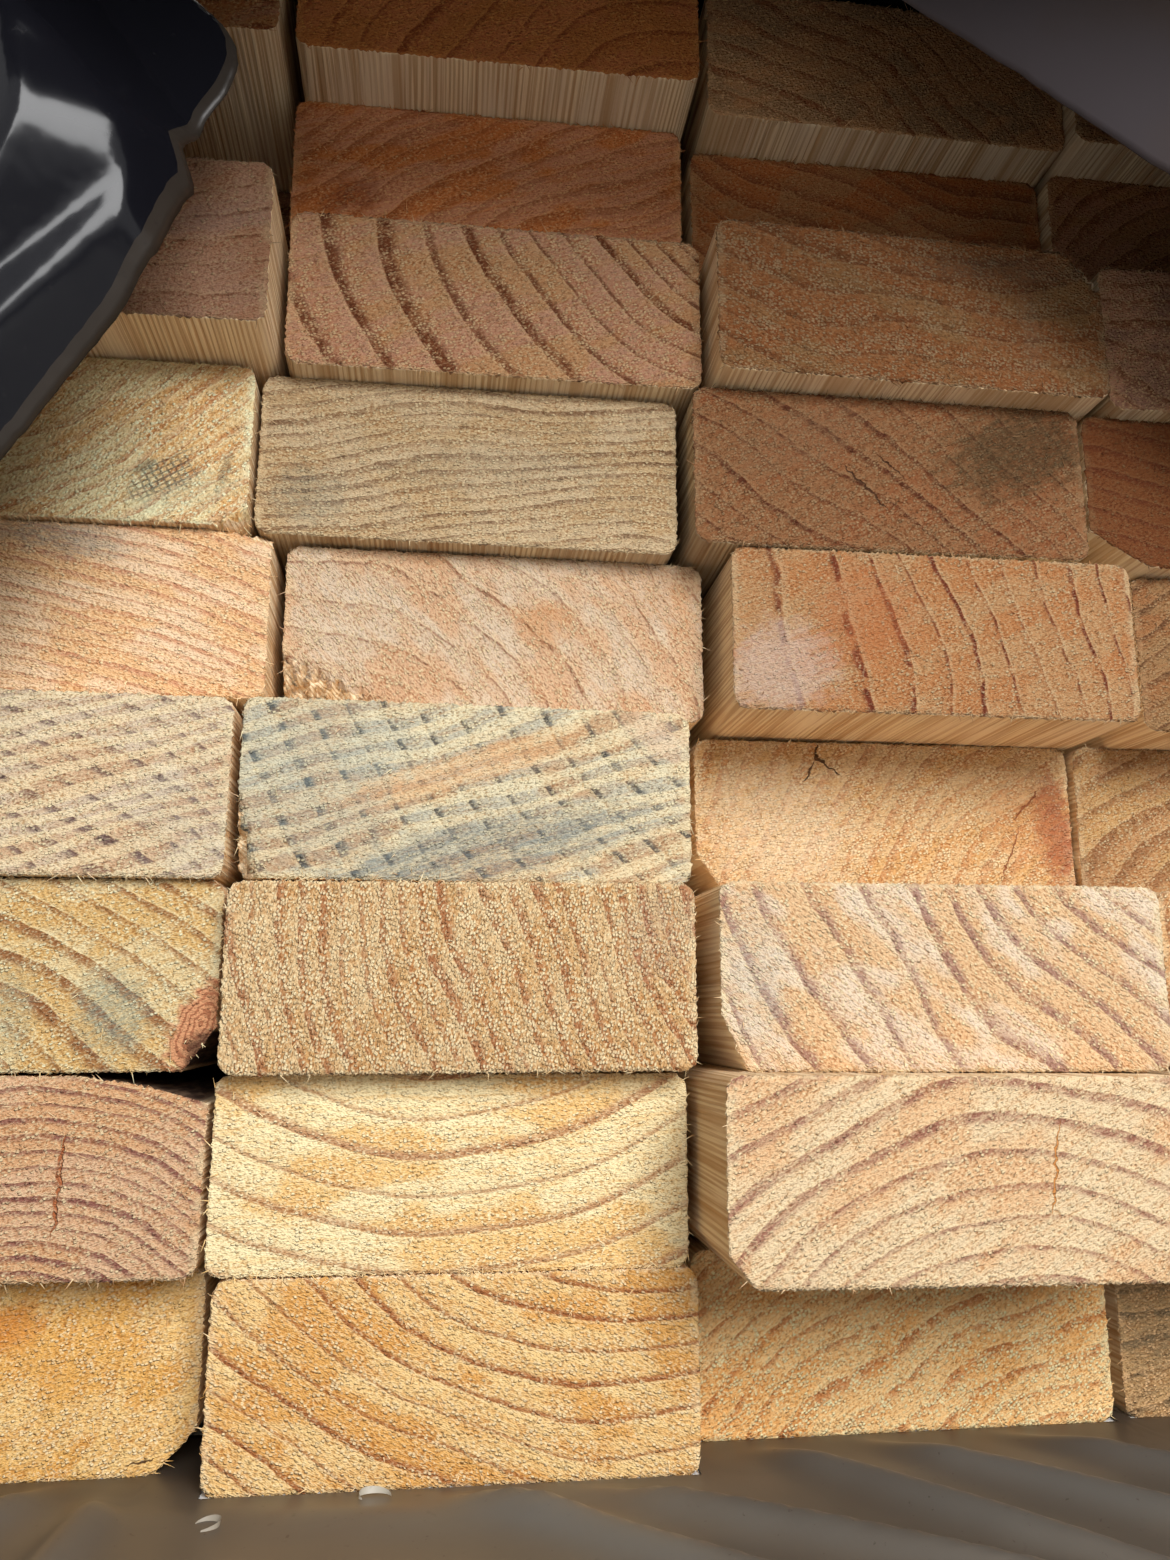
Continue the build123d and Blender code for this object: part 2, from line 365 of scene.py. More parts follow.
LOOKS: dict[tuple[int, int], EndLook] = {
    (1, 1): EndLook(painted_side_shade=0.8, painted_shade=0.5, warmth=1.2, pith=(40, -60), ring=8, early=PINK,
            late=BROWN),
    (1, 2): EndLook(painted_side_shade=0.8, painted_shade=0.5, warmth=2.1, pith=(49, -51), ring=7.8, late_share=0.22,
            early=PINK, patch=TAN, late=BROWN, fuzz=0.3, wobble=2.0),
    (1, 3): EndLook(painted_side_shade=0.8, painted_shade=0.75, warmth=0.9, pith=(-45, -60), ring=6.5, late_share=0.28,
            early=TAN, patch=(190, 160, 122), late=BROWN, fuzz=0.5),
    (1, 4): EndLook(painted_side_shade=0.8, painted_shade=0.6, warmth=0.8, pith=(-60, -90), ring=6, early=TAN,
            late=BROWN),
    (2, 1): EndLook(painted_side_shade=0.8, painted_shade=0.5, warmth=1, pith=(60, -80), ring=7, early=PINK, late=BROWN),
    (2, 2): EndLook(painted_side_shade=0.8, painted_shade=0.7, warmth=1.3, pith=(105, -170), ring=5.0, late_share=0.5,
            late_strength=0.6, early=PINK, patch=ORANGE, late=BROWN, fuzz=0.3, stains=(Stain((-31, -6),
            (9, 5), 20, 0.8, (120, 60, 40)), )),
    (2, 3): EndLook(painted_side_shade=0.8, painted_shade=0.5, warmth=1.3, pith=(55, 158), ring=6.2, late_share=0.4,
            early=TAN, patch=ORANGE, late=BROWN, fuzz=0.2),
    (2, 4): EndLook(painted_side_shade=0.8, painted_shade=0.55, warmth=1.2, pith=(60, -120), ring=5.0, late_share=0.4,
            early=TAN, patch=PINK, late=BROWN, fuzz=0.3),
    (3, 1): EndLook(painted_shade=0.36, warmth=0.4, pith=(60, -230), ring=6.5, late_share=0.16, early=PINK,
            patch=(222, 166, 130), late=BROWN, fuzz=0.15, breaks=0.9, stains=(Stain((32, 4), (16, 4), 12,
            0.35, (170, 150, 150)), )),
    (3, 2): EndLook(painted_side_shade=0.85, painted_shade=0.62, warmth=0.5, pith=(64, 42), ring=8.3, growth=0.05,
            late_share=0.3, late_strength=1.0, early=PINK, patch=(226, 180, 132), late=(140, 84, 50),
            fuzz=0.8, wobble=1.6),
    (3, 3): EndLook(late_strength=0.45, painted_shade=0.34, warmth=0.5, pith=(10, 120), ring=7.0, late_share=0.35,
            early=(220, 170, 112), patch=ORANGE, late=(140, 84, 44), fuzz=1.0, saw_turn=-8,
            patch_share=0.6, stains=(Stain((22, 12), (26, 4), 4, 0.5, (150, 134, 118)), Stain((27, -2),
            (3.0, 14), 0, 0.3, (214, 190, 160)))),
    (3, 4): EndLook(painted_side_shade=0.6, painted_shade=0.5, warmth=0.7, pith=(-60, -60), ring=6, early=PINK,
            patch=(190, 150, 130), late=BROWN, fuzz=0.7, wobble=6),
    (4, 1): EndLook(painted_shade=1.1, warmth=-1.1, pith=(-60, 90), ring=3.6, late_share=0.5, late_strength=0.8,
            early=(226, 188, 136), patch=(218, 158, 98), late=(186, 112, 68), fuzz=0.4, saw_turn=42,
            bands=0.3, stains=(Stain((32, -12), (14, 5), 20, 0.6, (196, 184, 146)), Stain((28, -8),
            (10, 5), 30, 0.95, INK, 0.3, 0.85), Stain((24, -6), (3, 1.5), 35, 0.8, INK, 0.4),
            Stain((40, -6), (1.4, 5.5), -15, 0.7, INK, 0.5)), ),
    (4, 2): EndLook(painted_side_shade=0.6, painted_shade=0.73, warmth=-0.2, pith=(40, -320), ring=2.9, late_share=0.5,
            late_strength=0.85, early=(226, 196, 156), patch=(214, 178, 132), late=(150, 112, 80),
            fuzz=0.6, saw_turn=4, bands=0.2, wobble=2.2, stains=(Stain((-34, -9), (10, 8), 0, 0.5,
            (150, 150, 132)), Stain((5, 0), (30, 6), 5, 0.25, (170, 162, 140)))),
    (4, 3): EndLook(painted_side_shade=0.45, painted_shade=0.33, warmth=0.8, pith=(-108, -146), ring=6.5, late_share=0.2,
            late_strength=0.95, early=(222, 168, 118), patch=(226, 160, 108), late=(150, 86, 50),
            fuzz=0.7, saw_turn=28, bands=0.25, stains=(Stain((30, 7), (22, 13), 20, 0.95, (104, 92, 58),
            0.3), Stain((-20, 8), (22, 9), 25, 0.5, (214, 180, 140), 0.6)), cracks=(Crack((-12, 2),
            (-1, -9), 0.4), Crack((-4, 5), (3, -1), 0.22))),
    (4, 4): EndLook(painted_shade=0.2, warmth=1.4, pith=(-60, -120), ring=6, early=(226, 160, 100), patch=ORANGE,
            late=RUST, fuzz=0.1),
    (5, 1): EndLook(painted_shade=0.95, pith=(-33, -195), ring=2.9, late_share=0.4, late_strength=0.85,
            early=(240, 208, 172), patch=(232, 186, 136), late=(206, 148, 112), fuzz=0.35, saw_turn=-12,
            wobble=1.6, stains=(Stain((3, 15), (16, 5), -8, 0.75, (146, 144, 134)), )),
    (5, 2): EndLook(painted_shade=0.73, warmth=-0.2, pith=(-38, -34), ring=7.4, late_share=0.1, late_strength=0.8,
            early=(240, 212, 182), patch=(236, 190, 150), late=(176, 126, 96), fuzz=0.45, saw_turn=-50,
            breaks=0.8, stains=(Stain((10, 3), (7, 6), 0, 0.55, ORANGE, 0.2), Stain((34, 12), (16, 8),
            -30, 0.45, ORANGE), Stain((-15, 17), (7, 3), 0, 0.5, ORANGE))),
    # The pale patch at (-35, -9) on this board is a painted pool of light, not a stain.
    (5, 3): EndLook(painted_shade=0.52, warmth=0.1, pith=(-140, -30), ring=8.5, growth=3.0, late_share=0.14,
            late_strength=1.0, early=(228, 176, 122), patch=(224, 156, 98), late=(150, 74, 44), fuzz=0.25,
            breaks=1.0, stains=(Stain((-35, -9), (15, 12), 20, 0.8, (255, 226, 206), 0.3), Stain((-16, 4),
            (14, 14), 20, 0.6, (222, 132, 78), 0.2))),
    (5, 4): EndLook(late_strength=0.9, painted_shade=0.38, warmth=0.9, pith=(40, -120), ring=5,
            early=(222, 190, 140), late=(150, 110, 74)),
    (6, 1): EndLook(painted_shade=0.8, warmth=-0.55, pith=(-92, -222), ring=5.0, late_share=0.4,
            late_strength=0.95, early=(242, 212, 182), patch=(236, 190, 150), late=(128, 98, 94),
            fuzz=0.35, saw_turn=16, saw_step=3.6, bands=0.9, stains=(Stain((38, -6), (14, 14), 0, 0.3,
            (170, 162, 150)), )),
    (6, 2): EndLook(wobble=1.6, painted_shade=0.8, warmth=-0.7, pith=(110, 75), ring=7.0, late_share=0.26,
            late_strength=0.95, early=(222, 206, 180), patch=(226, 180, 138), late=(96, 92, 88), fuzz=0.4,
            saw_turn=18, saw_step=4.4, bands=1.0, stains=(Stain((-30, 2), (22, 22), 0, 0.5,
            (158, 160, 150), 0.4), Stain((2, -12), (40, 8), 14, 0.8, (118, 120, 116), 0.5), Stain((0, 5),
            (30, 4.5), 18, 0.8, (232, 166, 112), 0.4), Stain((38, 13), (9, 5), -30, 0.7, (234, 184, 148),
            0.2))),
    (6, 3): EndLook(painted_shade=0.88, warmth=-0.2, pith=(62, -42), ring=5.0, late_share=0.5, late_strength=0.6,
            early=(228, 188, 138), patch=(222, 172, 112), late=(200, 138, 92), fuzz=0.9,
            stains=(Stain((-26, -2), (22, 18), 0, 0.7, (240, 216, 180), 0.5), Stain((41, -2), (6, 16), 8,
            1.0, (164, 84, 54), 0.1), Stain((33, 0), (10, 14), 20, 0.45, (214, 142, 88), 0.2)),
            cracks=(Crack((-17, 15), (-14, 13), 0.5), Crack((-16, 14), (-20, 8), 0.25), Crack((-16, 14),
            (-10, 10), 0.25), Crack((-16, 14), (-16, 18), 0.25), Crack((38, 8), (30, 0), 0.3,
            (150, 84, 50)), Crack((33, 0), (26, -15), 0.25, (150, 84, 50)))),
    (6, 4): EndLook(late_strength=0.8, painted_shade=0.6, pith=(60, -140), ring=7.0, late_share=0.55,
            early=(228, 182, 120), late=(166, 112, 72)),
    (7, 1): EndLook(painted_shade=0.84, warmth=-1, pith=(-105, -200), ring=5.4, late_share=0.4, late_strength=0.9,
            early=(234, 192, 138), patch=(226, 170, 104), late=(160, 98, 56), fuzz=0.35, wobble=2.0,
            stains=(Stain((26, -7), (8, 10), 20, 0.75, (134, 138, 120), 0.6), Stain((8, -6), (5, 10), 0,
            0.5, (150, 150, 126), 0.6), Stain((42, -14.5), (3.4, 5.5), -30, 1.0, (40, 18, 12), 0.0)),
            knots=(Knot((42, -9.5), (4.8, 10), -28, 0.95), )),
    (7, 2): EndLook(painted_shade=0.88, warmth=-0.4, pith=(150, 45), ring=4.2, late_share=0.45,
            late_strength=0.68, early=(230, 192, 142), patch=(220, 172, 116), late=(172, 100, 60),
            fuzz=1.35, saw_turn=75, stains=(Stain((38, 8), (9, 12), -20, 0.45, PURPLE_BROWN, 0.7), )),
    (7, 3): EndLook(painted_shade=0.84, warmth=-0.4, pith=(75, 50), ring=8.0, late_share=0.28, late_strength=0.75,
            early=(242, 212, 182), patch=(236, 188, 140), late=(164, 114, 100), fuzz=0.45, saw_turn=-35,
            breaks=0.5, stains=(Stain((-38, 0), (7, 18), 10, 0.5, (206, 196, 178)), )),
    (7, 4): EndLook(painted_shade=0.85, pith=(75, 50), ring=8.0, early=(230, 180, 130), late=BROWN),
    (8, 1): EndLook(painted_shade=0.78, warmth=-0.25, pith=(8, -60), ring=2.6, growth=1.3, late_share=0.42,
            late_strength=0.9, early=(234, 186, 146), patch=(230, 174, 126), late=(152, 96, 82),
            fuzz=0.35, wobble=1.8, stains=(Stain((42, 16.5), (8, 3), -10, 0.9, (84, 72, 66), 0.2), ),
            cracks=(Crack((20, 9), (19.5, -12), 0.4, (168, 92, 50), 0.8), )),
    (8, 2): EndLook(painted_shade=1, warmth=-0.5, pith=(-2, 78), through=(0, 3), ring=7.3, late_share=0.24,
            late_strength=0.95, early=(246, 218, 166), patch=(236, 186, 118), late=(192, 138, 96),
            fuzz=0.4, saw_turn=3, bands=0.1, wobble=1.2, patch_share=0.48, breaks=0.15),
    (8, 3): EndLook(painted_shade=0.86, warmth=-0.2, pith=(9, -60), through=(0, 5), ring=5.6, late_share=0.36,
            late_strength=0.95, early=(244, 214, 172), patch=(238, 190, 142), late=(168, 112, 92),
            fuzz=0.3, saw_turn=32, bands=0.2, wobble=1.6, cracks=(Crack((17, 12), (14.5, -8), 0.28,
            (206, 132, 62), 0.3), )),
    (8, 4): EndLook(painted_shade=0.85, pith=(4, -62), ring=5.0, early=(238, 200, 156), late=BROWN),
    (9, 1): EndLook(painted_shade=0.95, warmth=-0.2, pith=(-25, 20), ring=5.5, late_share=0.3, late_strength=0.3,
            early=(240, 198, 130), patch=(232, 176, 96), late=(206, 146, 74), fuzz=0.55,
            stains=(Stain((10, 8), (8, 5), 30, 0.85, (206, 124, 48), 0.1), Stain((18, 1), (12, 5), -40,
            0.5, (222, 160, 80), 0.2)), cracks=(Crack((32, -16), (38, -15), 0.2), )),
    (9, 2): EndLook(painted_shade=0.92, warmth=-0.1, pith=(38, 92), through=(44, 3), ring=5.6, late_share=0.2,
            late_strength=0.95, early=(244, 206, 142), patch=(230, 172, 96), late=(176, 112, 66),
            fuzz=0.55, saw_turn=-22, wobble=2.0, breaks=0.2),
    (9, 3): EndLook(painted_shade=1.2, pith=(57, -99), ring=5.5, late_share=0.35, late_strength=0.75,
            early=(232, 190, 132), patch=(224, 170, 104), late=(182, 112, 62), fuzz=0.7, saw_turn=35,
            breaks=0.7),
    (9, 4): EndLook(painted_shade=0.9, warmth=0.8, pith=(0, -200), ring=5, early=(196, 172, 126),
            patch=(170, 150, 112), late=(120, 110, 88), stains=(Stain((-38, 0), (12, 18), 0, 0.5,
            (120, 118, 96), 0.8), )),
}


@dataclass(frozen=True)
class WoodShaders:
    """The node groups that all boards share: the rings of the log, and the marks on a sawn end."""

    sawn_end: bpy.types.NodeTree
    planed_side: bpy.types.NodeTree
    patch: bpy.types.NodeTree

    @classmethod
    def build(cls) -> "WoodShaders":
        """Build the node groups."""
        return cls(cls.build_sawn_end(cls.build_rings("end rings", True)),
                   cls.build_planed_side(cls.build_rings("grain rings", False)), cls.build_patch())

    @staticmethod
    def build_rings(name: str, flat: bool) -> bpy.types.NodeTree:
        """Growth rings about a pith that runs along the board.

        Args:
            name: The group's name.
            flat: Whether the rings are the same all along the board, as on a sawn end.

        Returns:
            A group that gives the share of latewood, the place in the ring and a random value for each ring.
        """
        graph, ins, leave = new_group(
            name,
            RING_INPUTS,
            [("Late", "NodeSocketFloat"), ("Along", "NodeSocketFloat"), ("Ring Random", "NodeSocketFloat")])
        x, y, z = graph.split(ins["Place"])
        shift = graph.times(ins["Seed"], 97.7)
        if flat:
            seeded = graph.join(graph.plus(x, shift), graph.plus(z, shift), 0.0)
            slow_scale, fine_scale = (0.03, 0.03, 0.0), (0.19, 0.19, 0.0)
        else:
            seeded = graph.join(graph.plus(x, shift), y, z)
            slow_scale, fine_scale = (0.03, 0.0016, 0.03), (0.17, 0.006, 0.17)
        slow = graph.noise(graph.scaled(seeded, slow_scale), 0.0, colour=True, flat=flat)
        fine = graph.noise(graph.scaled(seeded, fine_scale), 1.0, colour=True, flat=flat)
        slow_x, slow_z, _ = graph.split(graph.vector("SUBTRACT", slow, (0.5, 0.5, 0.5)))
        fine_x, fine_z, _ = graph.split(graph.vector("SUBTRACT", fine, (0.5, 0.5, 0.5)))
        wide = graph.times(ins["Wobble"], 3.2)
        tight = graph.times(ins["Wobble"], 0.4)
        x = graph.times_plus(fine_x, tight, graph.times_plus(slow_x, wide, x))
        z = graph.times_plus(fine_z, tight, graph.times_plus(slow_z, wide, z))
        arm = graph.join(graph.minus(x, ins["Pith X"]), 0.0, graph.minus(z, ins["Pith Z"]))
        radius = graph.vector("LENGTH", arm, out=1)
        share = graph.math("POWER", graph.math("DIVIDE", radius, ins["Mean Radius"]), ins["Growth"])
        count = graph.math("DIVIDE", ins["Mean Radius"], graph.times(ins["Ring"], ins["Growth"]))
        phase = graph.times_plus(share, count, ins["Phase"])
        ring = graph.math("FLOOR", phase)
        along = graph.minus(phase, ring)
        random = graph.node("ShaderNodeTexWhiteNoise", noise_dimensions="1D")
        graph.feed(random.inputs["W"], graph.plus(ring, graph.times(ins["Seed"], 11.3)))
        width = graph.times(ins["Late Share"], graph.times_plus(random.outputs[0], 0.9, 0.6))
        rise = graph.step(along, graph.minus(0.98, width), graph.times_plus(width, -0.35, 0.98))
        fall = graph.rest(graph.step(along, 0.965, 1.0))
        graph.feed(leave.inputs["Late"], graph.times(rise, fall))
        graph.feed(leave.inputs["Along"], along)
        graph.feed(leave.inputs["Ring Random"], random.outputs[0])
        return graph.tree

    @staticmethod
    def build_sawn_end(rings: bpy.types.NodeTree) -> bpy.types.NodeTree:
        """The sawn end of a board: rings, torn fibres, saw marks.

        Args:
            rings: The group that makes the growth rings.

        Returns:
            A group that gives colour and height in mm.
        """
        graph, ins, leave = new_group(
            "sawn end",
            {**RING_INPUTS, "Late Strength": 0.8, "Early": WHITE, "Patch": WHITE,
             "Patch Share": 0.5, "Late Colour": (0.2, 0.1, 0.1, 1.0), "Fuzz": 0.5, "Speck": WHITE,
             "Saw Turn": 0.0, "Saw Step": 3.0, "Bands": 0.2, "Breaks": 0.4},
            [("Colour", "NodeSocketColor"), ("Height", "NodeSocketFloat")])
        place = ins["Place"]
        ring = graph.group(rings, {key: ins[key] for key in RING_INPUTS})
        x, _, z = graph.split(place)
        shift = graph.times(ins["Seed"], 43.3)
        flat = graph.join(graph.plus(x, shift), graph.plus(z, shift), 0.0)
        turned = graph.node("ShaderNodeVectorRotate", {"Vector": place, "Angle": ins["Saw Turn"]},
                            rotation_type="Y_AXIS").outputs[0]
        along_saw, _, across_saw = graph.split(turned)
        sawn = graph.join(graph.plus(along_saw, shift), graph.plus(across_saw, shift), 0.0)
        streak = graph.noise(graph.scaled(sawn, (0.07, 0.9, 0.0)), 1.0, 0.65, flat=True)
        clump = graph.noise(graph.scaled(flat, (0.2, 0.2, 0.0)), 1.0, 0.6, flat=True)
        mottle = graph.noise(graph.scaled(sawn, (0.035, 0.08, 0.0)), 2.0, 0.62, flat=True)
        distance, random = graph.grains(graph.scaled(sawn, (1.3, 1.75, 0.0)))
        fine = graph.noise(graph.scaled(sawn, (1.15, 2.1, 0.0)), 1.0, 0.8, flat=True)
        chance, tint, _ = graph.split(random)

        warp = graph.noise(graph.scaled(sawn, (0.04, 0.1, 0.0)), 0.0, flat=True)
        wave = graph.math("DIVIDE", graph.times_plus(warp, 5.0, across_saw), ins["Saw Step"])
        band = graph.times_plus(graph.math("SINE", graph.times(wave, math.tau)), 0.5, 0.5)
        band = graph.step(graph.times_plus(graph.minus(streak, 0.5), 1.2, band), 0.3, 0.7)

        broken = graph.times(ins["Breaks"], graph.step(clump, 0.42, 0.6))
        broken = graph.larger(broken, graph.times(ins["Bands"], band))
        late = graph.times(ring.outputs["Late"], graph.rest(broken))
        per_ring = graph.times_plus(ring.outputs["Ring Random"], 0.45, 0.7)
        late = graph.times(late, graph.times(per_ring, ins["Late Strength"]), clamp=True)
        soft = graph.times(graph.math("POWER", ring.outputs["Along"], 4.0), 0.25)
        tone = graph.larger(late, graph.times(soft, ins["Late Strength"]))

        ringwise = graph.times(graph.minus(ring.outputs["Ring Random"], 0.5), 0.1)
        patchy = graph.step(graph.plus(mottle, ringwise), graph.minus(0.95, ins["Patch Share"]),
                            graph.minus(1.07, ins["Patch Share"]))
        streaky = graph.times(graph.step(streak, 0.5, 0.66), 0.5)
        base = graph.mix(graph.larger(patchy, streaky), ins["Early"], ins["Patch"])
        base = graph.mix(tone, base, ins["Late Colour"])
        rim = graph.times(graph.step(ring.outputs["Along"], 0.86, 0.93),
                          graph.rest(graph.step(ring.outputs["Along"], 0.965, 1.0)))
        rim = graph.times(graph.times(rim, ins["Late Strength"]),
                          graph.times_plus(broken, -0.4, 0.28))
        base = graph.mix(rim, base, graph.tint(base, (0.5, 0.34, 0.24, 1.0)))
        lip = graph.times(graph.step(ring.outputs["Along"], 0.12, 0.02), ins["Late Strength"])
        base = graph.mix(graph.times(lip, 0.35), base, ins["Speck"])
        banded = graph.times(graph.times(band, ins["Bands"]), 0.6)
        base = graph.mix(banded, base, ins["Speck"])
        trough = graph.times(graph.rest(band), ins["Bands"])
        base = graph.mix(graph.times(trough, 0.5), base,
                         graph.tint(base, (0.66, 0.6, 0.54, 1.0)))

        woolly = graph.times_plus(graph.step(clump, 0.38, 0.6), 0.6, 0.4)
        spring = graph.times_plus(graph.step(ring.outputs["Along"], 0.1, 0.65), 0.75, 0.25)
        local = graph.times(graph.times(ins["Fuzz"], woolly),
                            graph.times(spring, graph.times_plus(late, -0.75, 1.0)))
        there = graph.math("LESS_THAN", chance, graph.times(local, 0.85))
        grain = graph.times(there, graph.step(distance, 0.62, 0.25))
        # Painted shade: the gaps between the raised fibre grains are darkened where the fuzz is dense.
        gap = graph.times(graph.rest(grain), local)
        painted_shade = graph.tint(base, (0.72, 0.46, 0.24, 1.0))
        base = graph.mix(graph.times(gap, 0.6, clamp=True), base, painted_shade)
        rough = graph.times_plus(woolly, 0.7, 0.3)
        # Painted shade in the hollows of the fine relief, which the same noise lowers in the bump.
        pit_shade = graph.times(graph.step(fine, 0.49, 0.3), rough)
        base = graph.mix(graph.times(pit_shade, 0.75), base,
                         graph.tint(base, (0.56, 0.4, 0.26, 1.0)))
        tip = graph.times(graph.step(fine, 0.53, 0.7), rough)
        base = graph.mix(graph.times(tip, 0.5), base, ins["Speck"])
        bright = graph.times_plus(tint, 0.55, 0.4)
        base = graph.mix(graph.times(grain, bright, clamp=True), base, ins["Speck"])
        hole = graph.times(graph.math("GREATER_THAN", chance, 0.965), graph.step(distance, 0.45, 0.15))
        dark = graph.tint(base, (0.42, 0.24, 0.12, 1.0))
        base = graph.mix(graph.times(hole, 0.55), base, dark)
        dust = graph.times(graph.math("GREATER_THAN", tint, 0.86), graph.step(distance, 0.5, 0.2))
        base = graph.mix(graph.times(dust, 0.4), base, ins["Speck"])
        # Paler rim along the end's edges: worn fibres, and partly a painted highlight on the rounded arrises.
        worn = graph.larger(graph.math("DIVIDE", graph.math("ABSOLUTE", x), HALF_WIDTH_MM),
                            graph.math("DIVIDE", graph.math("ABSOLUTE", z), HALF_THICKNESS_MM))
        worn = graph.times(graph.step(worn, 0.95, 0.99), graph.step(clump, 0.35, 0.6))
        base = graph.mix(graph.times(worn, 0.45), base, ins["Speck"])

        tuft = graph.math("LESS_THAN", chance, graph.times(ins["Fuzz"], 0.55))
        tuft = graph.times(tuft, graph.step(distance, 0.62, 0.25))
        height = graph.times_plus(tuft, 0.45, graph.times(fine, 0.6))
        graph.feed(leave.inputs["Colour"], base)
        graph.feed(leave.inputs["Height"], height)
        return graph.tree

    @staticmethod
    def build_planed_side(rings: bpy.types.NodeTree) -> bpy.types.NodeTree:
        """The long sides of a board, with fine ridges along the grain.

        Args:
            rings: The group that makes the growth rings.

        Returns:
            A group that gives colour and height in mm.
        """
        graph, ins, leave = new_group(
            "planed side",
            {**RING_INPUTS, "Side": WHITE},
            [("Colour", "NodeSocketColor"), ("Height", "NodeSocketFloat")])
        ring = graph.group(rings, {key: ins[key] for key in RING_INPUTS})
        seeded = graph.vector("ADD", ins["Place"], graph.join(graph.times(ins["Seed"], 91.0), 0.0, 0.0))
        ridge = graph.noise(graph.scaled(seeded, (1.05, 0.012, 1.05)), 1.0, 0.6)
        hair = graph.noise(graph.scaled(seeded, (3.5, 0.05, 3.5)), 1.0, 0.65)
        mottle = graph.noise(graph.scaled(seeded, (0.09, 0.02, 0.09)), 1.0, 0.6)
        across, _, up = graph.split(ins["Place"])
        sway = graph.noise(graph.scaled(seeded, (0.12, 0.01, 0.12)), 0.0)
        teeth = graph.times_plus(sway, 3.0, graph.math("DIVIDE", graph.plus(across, up), 1.16))
        teeth = graph.math("SINE", graph.times(teeth, math.tau))
        # Painted shade in the saw-tooth grooves, where the mottle lets them show.
        worn = graph.step(mottle, 0.3, 0.5)
        groove = graph.times(graph.step(teeth, 0.1, -0.7), worn)
        dark = graph.tint(ins["Side"], (0.62, 0.44, 0.28, 1.0))
        pale = graph.mix(0.45, ins["Side"], paint((250, 226, 180)))
        base = graph.mix(graph.step(mottle, 0.35, 0.65), ins["Side"], pale)
        base = graph.mix(graph.times(ring.outputs["Late"], 0.6), base, dark)
        # The ridges are painted darker in their low parts and paler on their tops: painted shade and painted
        # highlight on the ridge relief.
        base = graph.mix(graph.times(graph.step(ridge, 0.5, 0.34), 0.6), base, dark)
        base = graph.mix(graph.times(graph.step(ridge, 0.54, 0.7), 0.55), base, pale)
        base = graph.mix(graph.times(graph.step(hair, 0.55, 0.75), 0.3), base, dark)
        base = graph.mix(graph.times(groove, 0.6), base, dark)
        height = graph.times_plus(hair, 0.12, graph.times(ridge, 0.7))
        height = graph.times_plus(groove, -0.3, height)
        graph.feed(leave.inputs["Colour"], base)
        graph.feed(leave.inputs["Height"], height)
        return graph.tree

    @staticmethod
    def build_patch() -> bpy.types.NodeTree:
        """A soft patch with an uneven edge, for stains and knots.

        Returns:
            A group that gives the patch's strength and the turned place inside it.
        """
        graph, ins, leave = new_group(
            "uneven patch",
            {"Place": None, "Centre": None, "Radii": None, "Turn": 0.0, "Grain": 0.5, "Edge": 0.6,
             "Hatch": 0.0},
            [("Share", "NodeSocketFloat"), ("Reach", "NodeSocketFloat"), ("Plain Reach", "NodeSocketFloat")])
        moved = graph.vector("SUBTRACT", ins["Place"], ins["Centre"])
        turned = graph.node("ShaderNodeVectorRotate", {"Vector": moved, "Angle": ins["Turn"]},
                            rotation_type="Y_AXIS").outputs[0]
        reach = graph.vector("LENGTH", graph.vector("DIVIDE", turned, ins["Radii"]), out=1)
        graph.feed(leave.inputs["Plain Reach"], reach)
        rough = graph.noise(graph.scaled(turned, (0.22, 0.1, 0.5)), 2.0, 0.65)
        grain = graph.noise(graph.scaled(turned, (0.5, 0.1, 2.6)), 1.0, 0.6)
        reach = graph.times_plus(graph.minus(rough, 0.5), 1.3, reach)
        share = graph.rest(graph.step(reach, graph.rest(ins["Edge"]), 1.1))
        gap = graph.times(ins["Grain"], graph.step(grain, 0.6, 0.4))
        strokes_x, _, strokes_z = graph.split(graph.scaled(turned, (math.tau / 1.5, 1.0, math.tau / 1.1)))
        bend = graph.times(rough, 5.0)
        strokes = graph.larger(graph.step(graph.math("SINE", graph.plus(strokes_x, bend)), 0.2, 0.9),
                               graph.step(graph.math("SINE", graph.plus(strokes_z, bend)), 0.1, 0.8))
        blank = graph.times(ins["Hatch"], graph.rest(strokes))
        share = graph.times(share, graph.rest(blank))
        graph.feed(leave.inputs["Share"], graph.times(share, graph.rest(gap)))
        graph.feed(leave.inputs["Reach"], reach)
        return graph.tree


